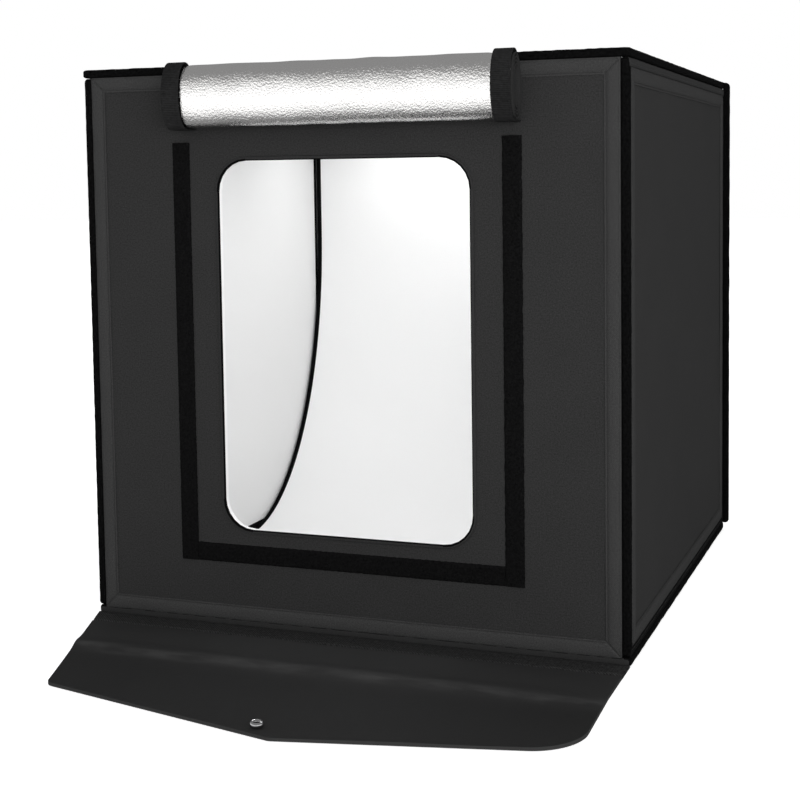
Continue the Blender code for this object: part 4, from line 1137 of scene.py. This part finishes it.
def coated(name, colour, spine_painted_light, fold_highlight):
    """Coated cloth: a fine leathery grain of cells and noise, a spine painted lighter to offset the tent's
    shade, and a painted highlight along the fold.

    The spine's painted light fades out over the fold; the fold's painted highlight is the patchy noise's
    upper part near the fold."""
    material, shader = new_finish(name, CASE_ROUGHNESS, Specular_IOR_Level=0.03)
    place = on_chart(material)
    cells = node(material, "TexVoronoi", {"Vector": place, "Scale": 900.0}).outputs["Distance"]
    fine, large = noise(material, place, 400.0, 4.0), noise(material, place, 16.0, 2.0)
    ramp = tinted(material, shader, colour, blended(material, 0.4, fine, large), 0.06)
    depth = node(material, "SeparateXYZ", {0: place}).outputs[1]
    # The spine's painted light, fading out over the fold.
    inner = ranged(material, depth, (CREASE + SPINE_LIGHT_FADE[0], CREASE + SPINE_LIGHT_FADE[1]), smooth=True)
    base = node(material, "Mix", {"Factor": inner, "A": ramp.outputs["Color"], "B": [*spine_painted_light, 1.0]},
                data_type="RGBA")
    past = calculated(material, "ADD", depth, CREASE_LIE + CREASE_HIGHLIGHT_SHIFT - CREASE)
    past = calculated(material, "ABSOLUTE", past)
    near = ranged(material, past, (0.0, CREASE_HIGHLIGHT_REACH), (1.0, 0.0), smooth=True)
    squeezed = node(material, "Mapping", {"Vector": place, "Scale": (22.0, 60.0, 1.0)}).outputs[0]
    patches = ranged(material, noise(material, squeezed, 1.0, 3.0), (0.38, 0.68))
    # The fold's painted highlight, in patches near the fold.
    highlight_share = calculated(material, "MULTIPLY", near, patches)
    highlighted = node(material, "Mix", {"Factor": highlight_share, "A": base.outputs["Result"], "B": [*fold_highlight, 1.0]},
                data_type="RGBA")
    material.node_tree.links.new(highlighted.outputs["Result"], shader.inputs["Base Color"])
    glossed(material, shader, large, CASE_ROUGHNESS - 0.06, CASE_ROUGHNESS + 0.06)
    raised(material, shader, mixed(material, cells, fine, 1.0), 0.00008, 0.5)
    return material


case_hide = coated("case_hide", CASE_COLOUR, SPINE_PAINTED_LIGHT_COLOUR, CREASE_HIGHLIGHT_COLOUR)
case_cover.data.materials.append(case_hide)
# The rim faces take a lighter copy of the coated cloth: a painted highlight along the flap's edges.
recoloured(case_cover, coated("case_rim_highlight", RIM_HIGHLIGHT_COLOUR, RIM_HIGHLIGHT_COLOUR, RIM_HIGHLIGHT_COLOUR),
           lambda centre, normal: (np.abs(normal[:, 2]) < 0.5) & (centre[:, 1] < ROOT - 0.004))
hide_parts("case_spine", "case_flap")
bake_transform(case_cover)


# The strip between the tent and its case is a dark tape woven in a herringbone. It lies nearly flat, and a
# row of long stitches in its dip joins it to the case.
STRIP_COLOUR = (0.0285, 0.0285, 0.0286)
STRIP_RIB = 0.0031
STRIP_WAVE, ZIGZAG = 0.00022, 0.0044
STRIP_REACH = np.array([-0.0014, -0.0010, -0.0002, 0.0030, 0.0060, 0.0090, 0.0120, 0.0150, 0.0180, 0.0210,
                        0.0240, 0.0270, 0.0295, 0.0310, 0.0325, 0.0340, 0.0352, 0.0355, 0.0355])
STRIP_RISE = np.array([0.0, 0.0007, 0.0022, 0.0027, 0.0029, 0.0029, 0.0028, 0.0029, 0.0029, 0.0028,
                       0.0028, 0.0028, 0.0024, 0.0015, 0.0013, 0.0016, 0.0022, 0.0018, 0.0])
STRIP_WOVEN = 0.0023
STRIP_SEAM, SEAM_MARGIN = (0.0326, 0.0016), 0.002
STRIP_STITCH = {"length": 0.0044, "radius": 0.0006, "pitch": 0.0068}
low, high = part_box("case_root_strip")
left_end = low.x + (ROOT_LEFT - low.x) * STRIP_REACH / (high.y - ROOT)
across = left_end + (high.x - left_end) * np.linspace(0.0, 1.0, 601)[:, None]
zigzag = np.abs((STRIP_REACH / ZIGZAG) % 2 - 1)
weave = STRIP_WAVE * np.sin((across / STRIP_RIB + zigzag) * 2 * math.pi) * (STRIP_RISE > STRIP_WOVEN)
points = np.stack([across, high.y - STRIP_REACH + 0.0 * weave, STRIP_RISE + weave], axis=-1)
strip = carried("woven_strip", points, points[..., :2])
strip_tape = textile("strip_tape", STRIP_COLOUR, STRIP_RIB, relief=0.0003, mottle=0.6, fleck=0.0034,
                     weave="twill", threads_seen=0.15)
finished(strip, strip_tape, "base", "black_tape", "case_root_strip")
seam = np.array([(end, high.y - STRIP_SEAM[0], STRIP_SEAM[1])
                 for end in (ROOT_LEFT + SEAM_MARGIN, high.x - SEAM_MARGIN)])
stitches("strip_stitches", [seam], (0, 0, 1), black_thread, "base", "black_tape", **STRIP_STITCH)


# A plated press stud near the flap's point closes the case against the socket on the back wall.
# Its head is a thick rolled ring round a hollow that is painted dark as shade.
STEEL = (0.56, 0.56, 0.57)
# The hollow's dark colour is painted shade.
HOLLOW_SHADE_COLOUR = (0.030, 0.030, 0.031)
STUD_HOLLOW = 0.0031
STUD_SECTION = np.array([(0.0, 0.0), (0.0056, 0.0), (0.0061, 0.0006), (0.0064, 0.0016), (0.0065, 0.0028),
                         (0.0062, 0.0039), (0.0056, 0.0047), (0.0048, 0.0051), (0.0040, 0.0049),
                         (0.0035, 0.0043), (0.0031, 0.0035), (0.0029, 0.0024), (0.0028, 0.0010),
                         (0.0, 0.0010)])


def turned(name, wall_points, section, steps=40):
    """A section (radius, height) turned round its axis; the ends on the axis close the shape."""
    angle = 2 * math.pi * np.arange(steps) / steps
    radius, height = section.T
    circle = np.stack([np.cos(angle)[:, None] * np.maximum(radius, 1e-5),
                       np.sin(angle)[:, None] * np.maximum(radius, 1e-5),
                       np.broadcast_to(height, (steps, len(height)))], axis=-1)
    return carried(name, wall_points(circle), circle[..., :2], closed=True)


def plated(name, colour, roughness):
    """Plated metal with small scuffs in its gloss."""
    material, shader = new_finish(name, roughness, 1.0)
    scuffs = noise(material, on_object(material), 700.0, 5.0)
    tinted(material, shader, colour, scuffs, 0.08)
    glossed(material, shader, scuffs, roughness - 0.1, roughness + 0.15)
    raised(material, shader, scuffs, 0.00003)
    return material


steel = plated("plated_steel", STEEL, 0.16)
hollow_shade = plated("hollow_shade_steel", HOLLOW_SHADE_COLOUR, 0.45)
low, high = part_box("snap_cap")
middle = (low + high) / 2
stud_place = np.array([middle.x, middle.y, low.z])
stud = turned("stud_head", lambda circle: circle + stud_place, STUD_SECTION)
finished(stud, steel, "case_flap", "plated_steel", "snap_cap")
# The faces in the hollow take the dark copy of the steel: painted shade.
recoloured(stud, hollow_shade,
           lambda centre, normal: np.hypot(*(centre[:, :2] - stud_place[:2]).T) < STUD_HOLLOW)
repaint("snap_post", steel)
low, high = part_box("snap_socket")
middle = (low + high) / 2
socket_place = np.array([middle.x, low.y, middle.z])
socket = turned("stud_socket", lambda circle: circle[..., [0, 2, 1]] + socket_place, STUD_SECTION)
finished(socket, steel, "back_wall", "plated_steel", "snap_socket")
